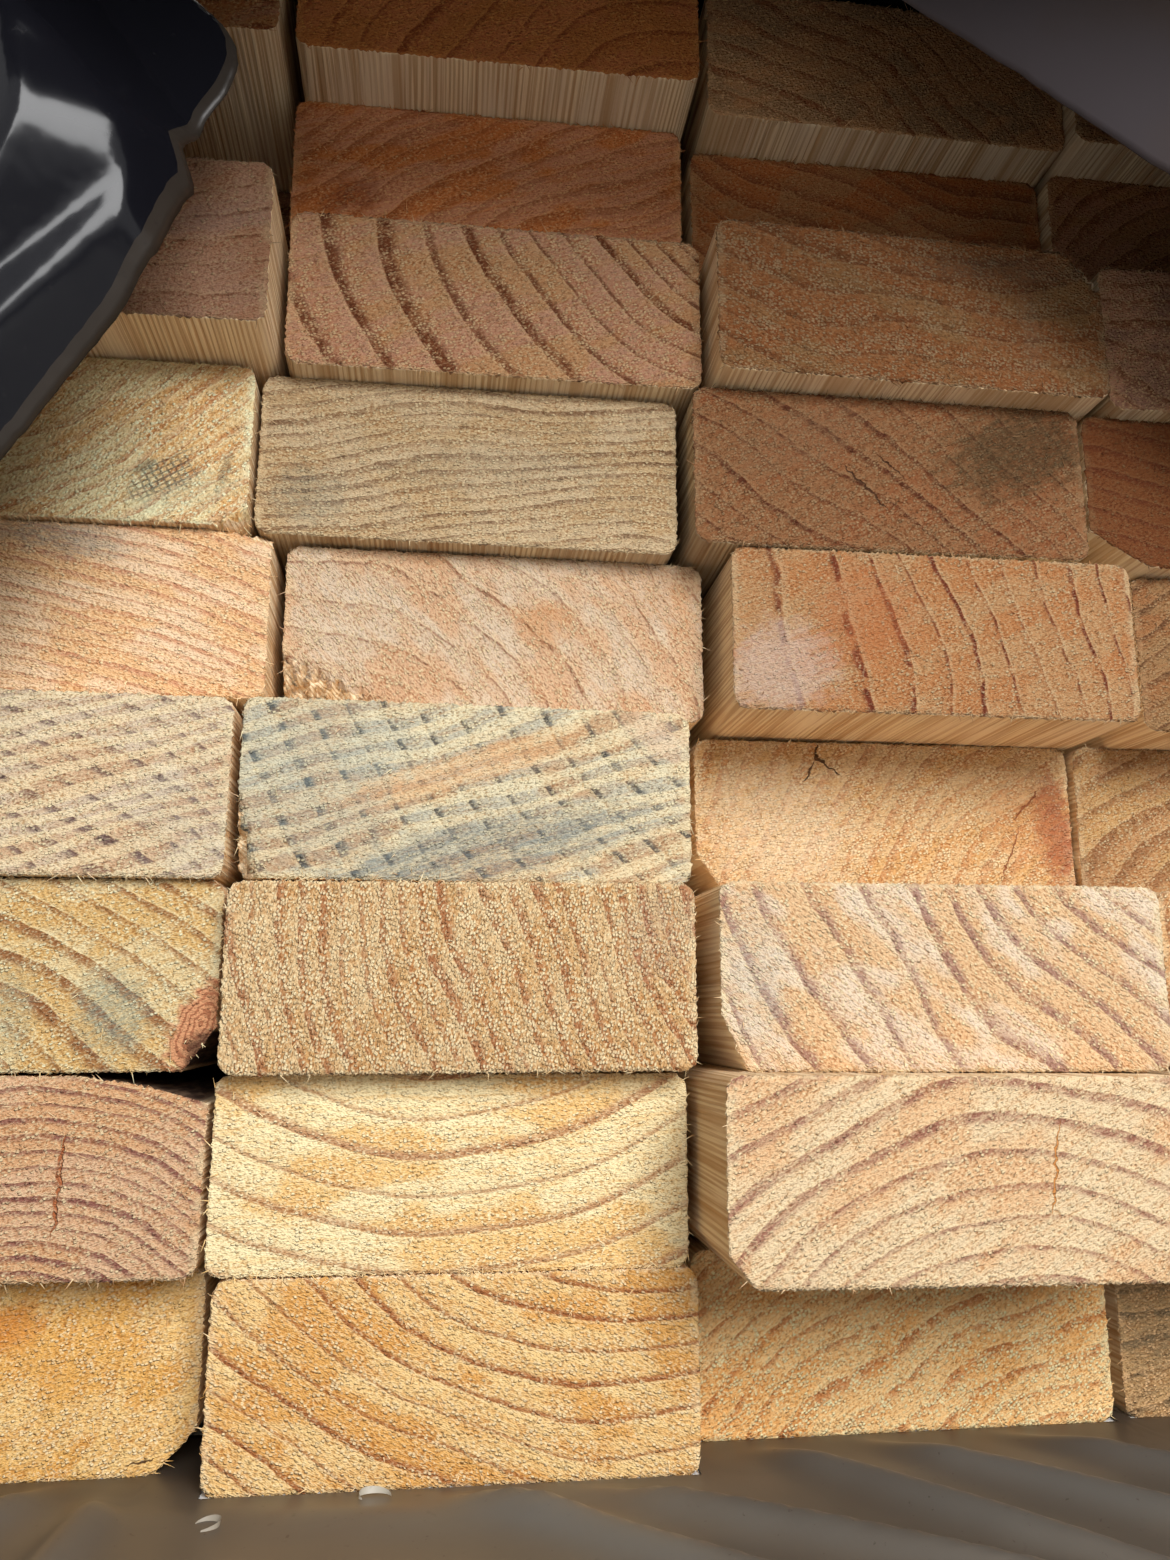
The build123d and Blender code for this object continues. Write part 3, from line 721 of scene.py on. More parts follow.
@dataclass
class BoardPlace:
    """Where a board lies, measured on its solid: centre, front end, lean and skew, in metres and radians."""

    node: str
    width: float
    thickness: float
    x: float
    z: float
    front: float
    rear: float
    lean: float
    skew: float

    @classmethod
    def measure(cls, node: str, width: float, thickness: float) -> "BoardPlace":
        """Measure a board of the given section.

        Args:
            node: The board's node in the frame.
            width: Width of the section in metres.
            thickness: Thickness of the section in metres.

        Returns:
            The place of the board.
        """
        corners = np.array([v.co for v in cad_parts[node].data.vertices], float)
        rear = corners[:, 1].max()
        end = corners[corners[:, 1] > rear - MM]
        spread = np.cov((end[:, [0, 2]] - end[:, [0, 2]].mean(0)).T)
        axis = np.linalg.eigh(spread)[1][:, -1]
        lean = math.atan(axis[1] / axis[0])
        low, high = end.min(0), end.max(0)
        front = corners[corners[:, 1] < corners[:, 1].min() + 3 * MM]
        slope, middle = np.polyfit(front[:, 0] - (low[0] + high[0]) / 2, front[:, 1], 1)
        return cls(node, width, thickness, (low[0] + high[0]) / 2, (low[2] + high[2]) / 2, middle, rear, lean,
                   math.atan(slope))

    def world(self, across: np.ndarray, up: np.ndarray, back: np.ndarray) -> np.ndarray:
        """Turn places on the board, in metres from the middle of its front end, into places in the frame."""
        cos, sin = math.cos(self.lean), math.sin(self.lean)
        return np.stack([self.x + across * cos - up * sin,
                         self.front + across * math.tan(self.skew) + back,
                         self.z + up * cos + across * sin], -1)


class Corner(Enum):
    """A corner of a board's end, as side and face."""

    UPPER_LEFT = (-1, 1)
    UPPER_RIGHT = (1, 1)
    LOWER_LEFT = (-1, -1)
    LOWER_RIGHT = (1, -1)


@dataclass(frozen=True)
class CornerCut:
    """What is missing at one corner of an end, in mm: torn out to some depth, or wane if depth is 0."""

    corner: Corner
    width: float
    height: float
    depth: float = 0.0
    bark: bool = False

    @property
    def side(self) -> int:
        """-1 for the left side, 1 for the right."""
        return self.corner.value[0]

    @property
    def face(self) -> int:
        """-1 for the lower face, 1 for the upper."""
        return self.corner.value[1]


CUTS: dict[tuple[int, int], CornerCut] = {
    (3, 4): CornerCut(Corner.UPPER_RIGHT, 9, 6),
    (4, 4): CornerCut(Corner.LOWER_LEFT, 14, 8),
    (6, 3): CornerCut(Corner.LOWER_LEFT, 7, 10),
    (7, 1): CornerCut(Corner.LOWER_RIGHT, 6, 8, bark=True),
    (7, 3): CornerCut(Corner.LOWER_LEFT, 5, 11),
    (8, 1): CornerCut(Corner.UPPER_RIGHT, 24, 5, bark=True),
    (8, 3): CornerCut(Corner.LOWER_LEFT, 5, 6),
    (9, 1): CornerCut(Corner.LOWER_RIGHT, 8, 8),
    (3, 3): CornerCut(Corner.UPPER_RIGHT, 9, 11, 14),
    (4, 1): CornerCut(Corner.LOWER_RIGHT, 7, 4, 20),
    (5, 1): CornerCut(Corner.UPPER_RIGHT, 12, 4, 9),
    (5, 2): CornerCut(Corner.LOWER_LEFT, 27, 12, 24),
    (6, 2): CornerCut(Corner.LOWER_LEFT, 4.5, 18, 14),
}


@dataclass
class Splinters:
    """Loose fibres that stand on a sawn end, scattered by Geometry Nodes."""

    seed: int
    density: float = 0.65e6
    length: float = 2.6 * MM
    thickness: float = 0.12 * MM

    ATTRIBUTE = "splinters"

    @classmethod
    def tree(cls) -> tuple[bpy.types.NodeTree, dict[str, str]]:
        """Build the node tree once and share it.

        Returns:
            The tree and the identifiers of its inputs by name.
        """
        tree = bpy.data.node_groups.get("splinters on the ends")
        if tree is None:
            tree = bpy.data.node_groups.new("splinters on the ends", "GeometryNodeTree")
            for name, kind in (("Geometry", "Geometry"), ("Density", "Float"), ("Length", "Float"),
                               ("Thickness", "Float"), ("Seed", "Int"), ("Material", "Material")):
                tree.interface.new_socket(name, in_out="INPUT", socket_type="NodeSocket" + kind)
            tree.interface.new_socket("Geometry", in_out="OUTPUT", socket_type="NodeSocketGeometry")
            graph = Graph(tree)
            ins = {s.name: s for s in graph.node("NodeGroupInput").outputs if s.name}
            share = graph.node("GeometryNodeInputNamedAttribute", {"Name": cls.ATTRIBUTE}, data_type="FLOAT")
            density = graph.times(share.outputs["Attribute"], ins["Density"])
            spots = graph.node("GeometryNodeDistributePointsOnFaces", distribute_method="RANDOM")
            for name, value in (("Mesh", ins["Geometry"]), ("Density", density), ("Seed", ins["Seed"])):
                graph.feed(spots.inputs[name], value)
            cone = graph.node("GeometryNodeMeshCone", {
                "Vertices": 3, "Radius Top": 0.15, "Radius Bottom": 1.0, "Depth": 1.0}, fill_type="NONE")
            lean = graph.node("FunctionNodeRandomValue", data_type="FLOAT_VECTOR")
            graph.feed(lean.inputs[0], (-1.25, -1.25, 0.0))
            graph.feed(lean.inputs[1], (1.25, 1.25, 6.28))
            graph.feed(lean.inputs["Seed"], ins["Seed"])
            turn = graph.node("FunctionNodeEulerToRotation", {0: lean.outputs[0]})
            stand = graph.node("FunctionNodeRotateRotation",
                               {0: spots.outputs["Rotation"], 1: turn.outputs[0]}, rotation_space="LOCAL")
            size = graph.node("FunctionNodeRandomValue", data_type="FLOAT")
            graph.feed(size.inputs[2], 0.25)
            graph.feed(size.inputs[3], 1.0)
            graph.feed(size.inputs["Seed"], ins["Seed"])
            long = graph.times(graph.math("POWER", size.outputs[1], 2.0), ins["Length"])
            scale = graph.node("ShaderNodeCombineXYZ", {0: ins["Thickness"], 1: ins["Thickness"], 2: long})
            placed = graph.node("GeometryNodeInstanceOnPoints", {
                "Points": spots.outputs["Points"], "Instance": cone.outputs["Mesh"],
                "Rotation": stand.outputs[0], "Scale": scale.outputs[0]})
            real = graph.node("GeometryNodeRealizeInstances", {0: placed.outputs[0]})
            dressed = graph.node("GeometryNodeSetMaterial", {"Geometry": real.outputs[0],
                                                             "Material": ins["Material"]})
            graph.feed(graph.node("NodeGroupOutput").inputs[0], dressed.outputs[0])
        names = {s.name: s.identifier for s in tree.interface.items_tree if s.in_out == "INPUT"}
        return tree, names

    def grow(self, board: bpy.types.Object, slot: int) -> None:
        """Scatter the fibres and join them to the board as plain mesh.

        Args:
            board: The board's object, with a face attribute that says where fibres stand.
            slot: The board's material slot for them.
        """
        tree, names = self.tree()
        modifier = board.modifiers.new("splinters", "NODES")
        modifier.node_group = tree
        for name, value in (("Density", self.density), ("Length", self.length), ("Thickness", self.thickness),
                            ("Seed", self.seed), ("Material", board.data.materials[slot])):
            modifier[names[name]] = value
        fibres = bpy.data.meshes.new_from_object(board.evaluated_get(bpy.context.evaluated_depsgraph_get()))
        board.modifiers.clear()
        board.data.attributes.remove(board.data.attributes[self.ATTRIBUTE])
        made = bmesh.new()
        made.from_mesh(board.data)
        own = len(made.faces)
        made.from_mesh(fibres)
        made.faces.ensure_lookup_table()
        for face in made.faces[own:]:
            face.material_index = slot
        made.to_mesh(board.data)
        made.free()
        bpy.data.meshes.remove(fibres)


@dataclass
class Board:
    """One framing board, with a fine mesh on its sawn end and ridged sides."""

    row: int
    place: int
    width: float = 2 * HALF_WIDTH_MM * MM
    thickness: float = 2 * HALF_THICKNESS_MM * MM
    arris: float = 3 * MM
    log_radius: float = 110 * MM
    cell_across: float = 0.61 * MM
    cell_up: float = 0.9 * MM
    wall_depths: tuple[float, ...] = (0.0004, 0.0015, 0.006, 0.02, 0.06)
    ridge: float = 0.13 * MM
    end_relief: float = 0.16 * MM
    measured: Optional[BoardPlace] = None

    @property
    def node(self) -> str:
        """Name of the board's node in the frame."""
        return f"board_row{self.row}_place{self.place}"

    @property
    def key(self) -> tuple[int, int]:
        """Row and place."""
        return self.row, self.place

    def columns(self) -> np.ndarray:
        """Places across the end, closer together over the rounded arrises."""
        edge = self.arris * (1 - np.cos(np.linspace(0, math.pi / 2, 6)))
        count = int((self.width - 2 * self.arris) / self.cell_across)
        middle = np.linspace(edge[-1], self.width - edge[-1], count + 1)
        whole = np.concatenate([edge[:-1], middle, self.width - edge[:-1][::-1]])
        return whole - self.width / 2

    def face_height(self, across: np.ndarray, face: int) -> np.ndarray:
        """Height of the upper or lower face over the end, with arris and wane.

        Args:
            across: Places across the end, in metres.
            face: 1 for the upper face, -1 for the lower.

        Returns:
            Heights above the board's centre, for the lower face below it.
        """
        over = np.clip(np.abs(across) - (self.width / 2 - self.arris), 0, self.arris)
        height = self.thickness / 2 - self.arris + np.sqrt(self.arris ** 2 - over ** 2)
        cut = CUTS.get(self.key)
        if cut and cut.face == face and not cut.depth:
            start = np.array([self.width / 2 - cut.width * MM, self.thickness / 2])
            end = np.array([self.width / 2, self.thickness / 2 - cut.height * MM])
            chord = end - start
            inward = np.array([chord[1], -chord[0]]) / np.linalg.norm(chord)
            centre = (start + end) / 2 + inward * math.sqrt(self.log_radius ** 2 - (chord @ chord) / 4)
            mirrored = across * cut.side
            wane = centre[1] + np.sqrt(np.maximum(self.log_radius ** 2 - (mirrored - centre[0]) ** 2, 0))
            height = np.where(mirrored > start[0], np.minimum(height, wane), height)
        return face * height

    def tear_depth(self, across: np.ndarray, up: np.ndarray) -> np.ndarray:
        """How far a torn corner goes back into the end, in metres."""
        cut = CUTS.get(self.key)
        if not cut or not cut.depth:
            return np.zeros_like(across)
        width, height = cut.width * MM, cut.height * MM
        out = (across * cut.side - (self.width / 2 - width)) / width
        down = (up * cut.face - (self.thickness / 2 - height)) / height
        ragged = noise_over(across, up, 700, self.row)
        inside = (np.clip(out, -1, 1.2) + np.clip(down, -1, 1.2) - 1) / 2 + 0.17 * ragged
        inside = np.where((out > 0) & (down > 0), inside, 0)
        return np.clip(inside, 0, 1) * cut.depth * MM

    def relief(self, across: np.ndarray, up: np.ndarray, fuzz: float) -> np.ndarray:
        """Uneven surface of the sawn end, in metres towards the front."""
        seed = self.row * 10 + self.place
        coarse = noise_over(across, up, 260, seed) * 0.8
        fine = noise_over(across, up, 900, seed) * (0.5 + 0.9 * fuzz)
        return (coarse + fine) * self.end_relief

    def build(self) -> bpy.types.Object:
        """Make the mesh: a fine front end, ridged walls and a plain far end.

        Returns:
            The board's object, with slot 0 for the sawn end and slot 1 for the sides.
        """
        place = BoardPlace.measure(self.node, self.width, self.thickness)
        columns = self.columns()
        rows = int(self.thickness / self.cell_up)
        share = np.linspace(0, 1, rows + 1)
        top, bottom = self.face_height(columns, 1), self.face_height(columns, -1)
        across = np.repeat(columns[:, None], rows + 1, 1)
        up = bottom[:, None] + (top - bottom)[:, None] * share[None, :]
        rng = np.random.default_rng(self.row * 100 + self.place)

        columns_count = len(columns)
        index = np.arange(columns_count * (rows + 1)).reshape(columns_count, rows + 1)
        loop = np.concatenate([index[:, 0], index[-1, 1:], index[-2::-1, -1], index[0, -2:0:-1]])
        flat_across, flat_up = across.ravel().copy(), up.ravel().copy()
        outward = np.stack([flat_across[loop] / self.width, flat_up[loop] / self.thickness], -1)
        outward = np.where(np.abs(outward) >= 0.43, np.sign(outward), 0)
        outward /= np.maximum(np.linalg.norm(outward, axis=1), 1)[:, None]
        teeth = np.arange(len(loop)) % 2 * 1.6 - 0.8 + rng.normal(0, 0.45, len(loop))
        teeth = teeth.clip(-1.6, 1.6) * self.ridge
        wall_across = flat_across[loop] + outward[:, 0] * teeth
        wall_up = flat_up[loop] + outward[:, 1] * teeth
        ragged = rng.normal(0, 1, len(loop)).clip(-2, 2) * 0.14 * MM
        flat_across[loop] = wall_across + outward[:, 0] * ragged
        flat_up[loop] = wall_up + outward[:, 1] * ragged

        look = LOOKS[self.key]
        torn = self.tear_depth(flat_across, flat_up)
        back = torn - self.relief(flat_across, flat_up, look.fuzz) * (torn < 2 * MM)
        back[loop] += np.abs(ragged)
        points = [place.world(flat_across, flat_up, back)]
        loop_back = back[loop]
        length = place.rear - place.front
        for depth in (*self.wall_depths, length - 3 * MM):
            points.append(place.world(wall_across, wall_up, np.maximum(loop_back + 0.3 * MM, depth)
                                      if depth < length / 2 else np.full(len(loop), depth)))
        inner = place.world(wall_across * (1 - 2 * MM / self.width), wall_up * (1 - 2 * MM / self.thickness),
                            np.full(len(loop), length) - wall_across * math.tan(place.skew))
        points.append(inner)
        vertices = np.concatenate(points)

        faces: list[tuple[int, ...]] = []
        for i in range(columns_count - 1):
            for j in range(rows):
                faces.append((index[i, j], index[i + 1, j], index[i + 1, j + 1], index[i, j + 1]))
        end_faces = len(faces)
        rings = [loop] + [index.size + k * len(loop) + np.arange(len(loop)) for k in range(len(points) - 1)]
        for near, far in zip(rings, rings[1:]):
            for k in range(len(loop)):
                n = (k + 1) % len(loop)
                faces.append((near[n], near[k], far[k], far[n]))
        faces.append(tuple(rings[-1]))

        mesh = bpy.data.meshes.new(self.node + "_timber")
        mesh.from_pydata(vertices.tolist(), [], [tuple(int(v) for v in face) for face in faces])
        slots = np.ones(len(faces), np.int32)
        corners = index[:-1, :-1].ravel(), index[1:, 1:].ravel()
        slots[:end_faces] = np.minimum(torn[corners[0]], torn[corners[1]]) > 0.8 * MM
        slots[-1] = 0
        mesh.polygons.foreach_set("material_index", slots)
        mesh.polygons.foreach_set("use_smooth", np.ones(len(faces), bool))
        ragged_edge = np.full((columns_count - 1, rows), 0.03 + 0.09 * look.fuzz)
        ragged_edge[1:-1, [1, -2]] = 0.25
        ragged_edge[[0, -1], :] = ragged_edge[:, [0, -1]] = 1.0
        share = np.zeros(len(faces), np.float32)
        share[:end_faces] = np.where(slots[:end_faces] == 1, 0.5, ragged_edge.ravel())
        share[end_faces:end_faces + len(loop)] = 0.3
        mesh.attributes.new(Splinters.ATTRIBUTE, "FLOAT", "FACE").data.foreach_set("value", share)
        mesh.update()
        board = bpy.data.objects.new(self.node + "_timber", mesh)
        bpy.context.scene.collection.objects.link(board)
        self.measured = place
        return board

    def dress(self, board: bpy.types.Object, shaders: WoodShaders) -> None:
        """Give the board its sawn-end and side materials.

        Args:
            board: The board's object.
            shaders: The node groups of the wood.
        """
        board.data.materials.append(self.end_material(shaders))
        board.data.materials.append(self.side_material(shaders))
        board.data.materials.append(self.splinter_material())
        Splinters(seed=self.row * 10 + self.place).grow(board, 2)

    def splinter_material(self) -> bpy.types.Material:
        """Material of the loose fibres: pale wood, darker here and there."""
        look = LOOKS[self.key]
        material, graph, shader = new_material(self.node + " splinters")
        place = graph.place_mm()
        cloud = graph.noise(graph.scaled(place, (0.5, 0.2, 0.5)), 2.0)
        # Splinter colours carry the board's painted shade.
        colour = graph.mix(graph.step(cloud, 0.35, 0.65), look.with_painted_shade(look.patch), look.with_painted_shade(look.speck))
        graph.feed(shader.inputs["Base Color"], colour)
        shader.inputs["Roughness"].default_value = 0.8
        shader.inputs["Specular IOR Level"].default_value = 0.2
        return material

    def local_place(self, graph: Graph) -> Socket:
        """Place on the board in mm from the middle of its front end."""
        source = graph.node("ShaderNodeTexCoord").outputs["Object"]
        centre = (self.measured.x, self.measured.front, self.measured.z)
        moved = graph.vector("SUBTRACT", source, centre)
        turned = graph.node("ShaderNodeVectorRotate", {"Vector": moved, "Angle": self.measured.lean},
                            rotation_type="Y_AXIS").outputs[0]
        return graph.scaled(turned, (1 / MM,) * 3)

    def ring_inputs(self, place: Socket) -> dict:
        """Inputs of the ring group for this board."""
        look = LOOKS[self.key]
        return {"Place": place, "Pith X": look.pith[0], "Pith Z": look.pith[1], "Ring": look.ring,
                "Growth": look.growth, "Mean Radius": math.hypot(*look.pith), "Wobble": look.wobble,
                "Late Share": look.late_share, "Seed": (self.row * 4 + self.place) * 0.37,
                "Phase": look.phase()}

    def end_material(self, shaders: WoodShaders) -> bpy.types.Material:
        """Material of the sawn end."""
        look = LOOKS[self.key]
        # All colours of the end carry the board's painted light and shade.
        tone = look.with_painted_shade
        material, graph, shader = new_material(self.node + " sawn end")
        place = self.local_place(graph)
        end = graph.group(shaders.sawn_end, {
            **self.ring_inputs(place), "Late Strength": look.late_strength, "Early": tone(look.early),
            "Patch": tone(look.patch), "Patch Share": look.patch_share, "Late Colour": tone(look.late),
            "Fuzz": look.fuzz, "Speck": tone(look.speck), "Saw Turn": math.radians(look.saw_turn),
            "Saw Step": look.saw_step, "Bands": look.bands, "Breaks": look.breaks})
        colour, height = end.outputs["Colour"], end.outputs["Height"]
        for knot in look.knots:
            colour = self.knot_colour(graph, shaders, place, knot, colour)
        for stain in look.stains:
            patch = graph.group(shaders.patch, {**patch_inputs(place, stain), "Grain": stain.grain,
                                                "Hatch": stain.hatch})
            colour = graph.mix(graph.times(patch.outputs["Share"], stain.strength), colour,
                               graph.mix(0.78, colour, tone(stain.colour)))
        if look.cracks:
            wander = graph.noise(graph.scaled(place, (0.45, 0.1, 0.45)), 2.0)
            gaps = graph.noise(graph.scaled(place, (0.9, 0.1, 0.9)), 1.0)
        for crack in look.cracks:
            colour, height = self.crack_marks(graph, place, crack, wander, gaps, colour, height)
        bump = graph.node("ShaderNodeBump", {"Strength": 0.8, "Distance": MM, "Height": height})
        graph.feed(shader.inputs["Base Color"], colour)
        graph.feed(shader.inputs["Normal"], bump.outputs[0])
        shader.inputs["Roughness"].default_value = 0.82
        shader.inputs["Specular IOR Level"].default_value = 0.2
        return material

    @staticmethod
    def knot_colour(graph: Graph, shaders: WoodShaders, place: Socket, knot: Knot, colour: Socket) -> Socket:
        """Lay a knot with its own rings over the end's colour."""
        patch = graph.group(shaders.patch, {**patch_inputs(place, knot), "Grain": 0.0, "Edge": 0.25})
        bent = graph.mix(0.3, patch.outputs["Plain Reach"], patch.outputs["Reach"])
        turns = graph.times(bent, min(knot.radii) / knot.ring)
        wave = graph.math("SINE", graph.times(turns, math.tau))
        line = graph.step(wave, 0.0, 0.8)
        wood = graph.mix(graph.times(line, 0.8), paint(knot.colour), paint(knot.lines))
        return graph.mix(patch.outputs["Share"], colour, wood)

    @staticmethod
    def crack_marks(graph: Graph, place: Socket, crack: Crack, wander: Socket, gaps: Socket, colour: Socket,
                    height: Socket) -> tuple[Socket, Socket]:
        """Draw a crack as a dark sunk line between two points.

        Args:
            graph: Graph of the material.
            place: Place on the board in mm.
            crack: The crack.
            wander: Noise that bends the line.
            gaps: Noise that breaks the line.
            colour: Colour so far.
            height: Height so far.

        Returns:
            Colour and height with the crack.
        """
        start = Vector((crack.start[0], 0, crack.start[1]))
        along = Vector((crack.end[0], 0, crack.end[1])) - start
        length = along.length
        along.normalize()
        sideways = Vector((-along.z, 0, along.x))
        moved = graph.vector("SUBTRACT", place, tuple(start))
        reach = graph.vector("DOT_PRODUCT", moved, tuple(along), out=1)
        off = graph.vector("DOT_PRODUCT", moved, tuple(sideways), out=1)
        off = graph.math("ABSOLUTE", graph.times_plus(graph.minus(wander, 0.5), 2.4, off))
        taper = graph.math("MINIMUM", graph.step(reach, 0.0, length * 0.3),
                           graph.rest(graph.step(reach, length * 0.7, length)))
        gap = graph.step(gaps, 0.35 + 0.2 * crack.broken, 0.3)
        width = graph.times(taper, crack.width)
        line = graph.rest(graph.step(off, graph.times(width, 0.5), width))
        line = graph.times(line, graph.rest(graph.times(gap, crack.broken)))
        line = graph.times(line, graph.step(taper, 0.02, 0.2))
        darker = graph.mix(graph.times(line, 0.9), colour, paint(crack.colour))
        return darker, graph.times_plus(line, -0.8, height)

    def side_material(self, shaders: WoodShaders) -> bpy.types.Material:
        """Material of the long sides."""
        look = LOOKS[self.key]
        material, graph, shader = new_material(self.node + " side")
        place = self.local_place(graph)
        # Side colour with the board's painted side shade, without warmth.
        colour = replace(look, painted_shade=look.painted_side_shade, warmth=0.0).with_painted_shade(look.side)
        side = graph.group(shaders.planed_side, {**self.ring_inputs(place), "Side": colour})
        bump = graph.node("ShaderNodeBump", {"Strength": 0.6, "Distance": MM,
                                             "Height": side.outputs["Height"]})
        graph.feed(shader.inputs["Base Color"], self.bark(graph, place, side.outputs["Colour"]))
        graph.feed(shader.inputs["Normal"], bump.outputs[0])
        shader.inputs["Roughness"].default_value = 0.7
        shader.inputs["Specular IOR Level"].default_value = 0.25
        return material

    def bark(self, graph: Graph, place: Socket, colour: Socket) -> Socket:
        """Darken the wane of a board that keeps its bark.

        Args:
            graph: Graph of the material.
            place: Place on the board in mm.
            colour: Colour of the planed side.

        Returns:
            The colour with the bark.
        """
        cut = CUTS.get(self.key)
        if not cut or not cut.bark:
            return colour
        across, _, up = graph.split(place)
        out = graph.times_plus(across, cut.side / cut.width, 1 - 0.5 * self.width / MM / cut.width)
        down = graph.times_plus(up, cut.face / cut.height, 1 - 0.5 * self.thickness / MM / cut.height)
        inside = graph.step(graph.math("MINIMUM", out, down), 0.0, 0.12)
        flakes = graph.noise(graph.scaled(place, (0.5, 0.1, 0.5)), 2.0, 0.6)
        rind = graph.mix(graph.step(flakes, 0.4, 0.62), paint((52, 34, 26)), paint((104, 82, 64)))
        return graph.mix(inside, colour, rind)


def patch_inputs(place: Socket, mark: Union[Stain, Knot]) -> dict:
    """Inputs of the patch group that put a stain or knot in its place, the same all along the board."""
    return {"Place": place, "Centre": (mark.centre[0], 0, mark.centre[1]),
            "Radii": (mark.radii[0], ENDLESS_MM, mark.radii[1]), "Turn": math.radians(mark.turn)}


def new_material(name: str) -> tuple[bpy.types.Material, Graph, bpy.types.Node]:
    """Start a material with one Principled shader.

    Args:
        name: The material's name.

    Returns:
        The material, its graph and the shader node.
    """
    material = bpy.data.materials.new(name)
    material.use_nodes = True
    shader = material.node_tree.nodes["Principled BSDF"]
    return material, Graph(material.node_tree), shader


@dataclass(frozen=True)
class FilmFinish:
    """Finish of one side of the film."""

    name: str
    colour: Rgb
    dirt: Rgb
    dirt_share: float
    roughness: float
    crackle: float
    specular: float = 0.5
    # Range in y of the painted shadow along the boards' feet, for the floor piece.
    foot: Optional[Point] = None

    def material(self) -> bpy.types.Material:
        """Make a mottled plastic skin with fine crackle; on the floor piece add painted shade in the low
        folds, a painted shadow along the boards' feet and dark grit specks.
        """
        material, graph, shader = new_material(self.name)
        place = graph.place_mm()
        cloud = graph.noise(graph.scaled(place, (0.012, 0.008, 0.012)), 3.0, 0.6)
        spots = graph.noise(graph.scaled(place, (0.35, 0.35, 0.35)), 2.0, 0.7)
        dusty = graph.step(cloud, 0.42, 0.66)
        dusty = graph.larger(dusty, graph.step(spots, 0.64, 0.8))
        colour = graph.mix(graph.times(dusty, self.dirt_share), paint(self.colour), paint(self.dirt))
        if self.foot:
            _, back, up = graph.split(place)
            # Painted shade in the low parts of the folds.
            hollow = graph.step(graph.times_plus(spots, 0.8, up), 4.0, 0.8)
            colour = graph.mix(graph.times(hollow, 0.55), colour, paint((84, 73, 60)))
            # Painted shadow along the boards' feet.
            back = graph.times_plus(cloud, 14.0, back)
            near = graph.step(back, self.foot[0] / MM, self.foot[1] / MM)
            colour = graph.mix(graph.times(near, 0.75), colour, paint((58, 48, 38)))
            grit = graph.noise(graph.scaled(place, (0.8, 0.8, 0.8)), 2.0, 0.6)
            colour = graph.mix(graph.times(graph.step(grit, 0.7, 0.76), 0.7), colour, paint((52, 42, 34)))
        fine = graph.noise(graph.scaled(place, (0.09, 0.05, 0.09)), 2.0, 0.55)
        bump = graph.node("ShaderNodeBump", {"Strength": self.crackle, "Distance": 2 * MM, "Height": fine})
        graph.feed(shader.inputs["Base Color"], colour)
        graph.feed(shader.inputs["Normal"], bump.outputs[0])
        graph.feed(shader.inputs["Roughness"],
                   graph.times_plus(dusty, 0.18 * self.dirt_share, self.roughness))
        shader.inputs["Specular IOR Level"].default_value = self.specular
        return material


PALE_FILM = FilmFinish("film pale side", (190, 190, 188), (158, 152, 142), 0.16, 0.24, 0.3)
# Pale side of the film painted dark brown-grey: painted shade on the right corner that hangs in the mouth
# under the roof.
SHADED_MOUTH_FILM = FilmFinish("film pale side with painted shade", (68, 55, 46), (70, 66, 72), 0.7, 0.55, 0.08, 0.08)
BLACK_FILM = FilmFinish("film black side", (18, 18, 23), (44, 42, 42), 0.3, 0.15, 0.1, 0.24)
RIM_FILM = FilmFinish("film thin rim", (48, 42, 37), (24, 22, 21), 1.0, 0.3, 0.4, 0.25)
FLOOR_FILM = FilmFinish("film on the floor", (98, 94, 88), (76, 68, 60), 0.6, 0.36, 0.05)
CURL_FILM = FilmFinish("film torn curl", (176, 168, 152), (120, 106, 88), 0.7, 0.45, 0.2)


FILM_WALL = 0.3 * MM
WELD_DISTANCE = 0.02 * MM
SIDE_POINTS = 40
ROUND_POINTS = 6
TOP_POINTS = 48
CORNER_STEPS = 80
LEFT_RIM_POINTS = 180
RIGHT_RIM_POINTS = 90
FAR_END_STEPS = 22


@dataclass(frozen=True)
class Crease:
    """One sharp fold in a flat film: middle, half length, direction, width and height, in metres."""

    middle: Point
    reach: float
    turn: float
    width: float
    height: float
    soft: bool = False


def creased(u: np.ndarray, v: np.ndarray, creases: Sequence[Crease]) -> np.ndarray:
    """Height of a creased film over its flat coordinates.

    Args:
        u: First coordinate in metres.
        v: Second coordinate in metres.
        creases: The folds.

    Returns:
        The summed height of the folds in metres.
    """
    total = np.zeros_like(u)
    for crease in creases:
        cos, sin = math.cos(crease.turn), math.sin(crease.turn)
        du, dv = u - crease.middle[0], v - crease.middle[1]
        along, off = du * cos + dv * sin, dv * cos - du * sin
        fade = np.clip(1 - (along / crease.reach) ** 2, 0, 1)
        away = np.abs(off) / (crease.width * (0.4 + 0.6 * fade))
        total += crease.height * fade * np.exp(-away ** 2 if crease.soft else -away)
    return total


@dataclass(frozen=True)
class Facet:
    """One flat face of a stiff film: a point on it, its height there, its rise to the right and up."""

    point: Point
    height: float
    slope: Point
    valley: int = 0

    def over(self, u: np.ndarray, v: np.ndarray) -> np.ndarray:
        """Height of the face over flat coordinates."""
        return self.height + (u - self.point[0]) * self.slope[0] + (v - self.point[1]) * self.slope[1]


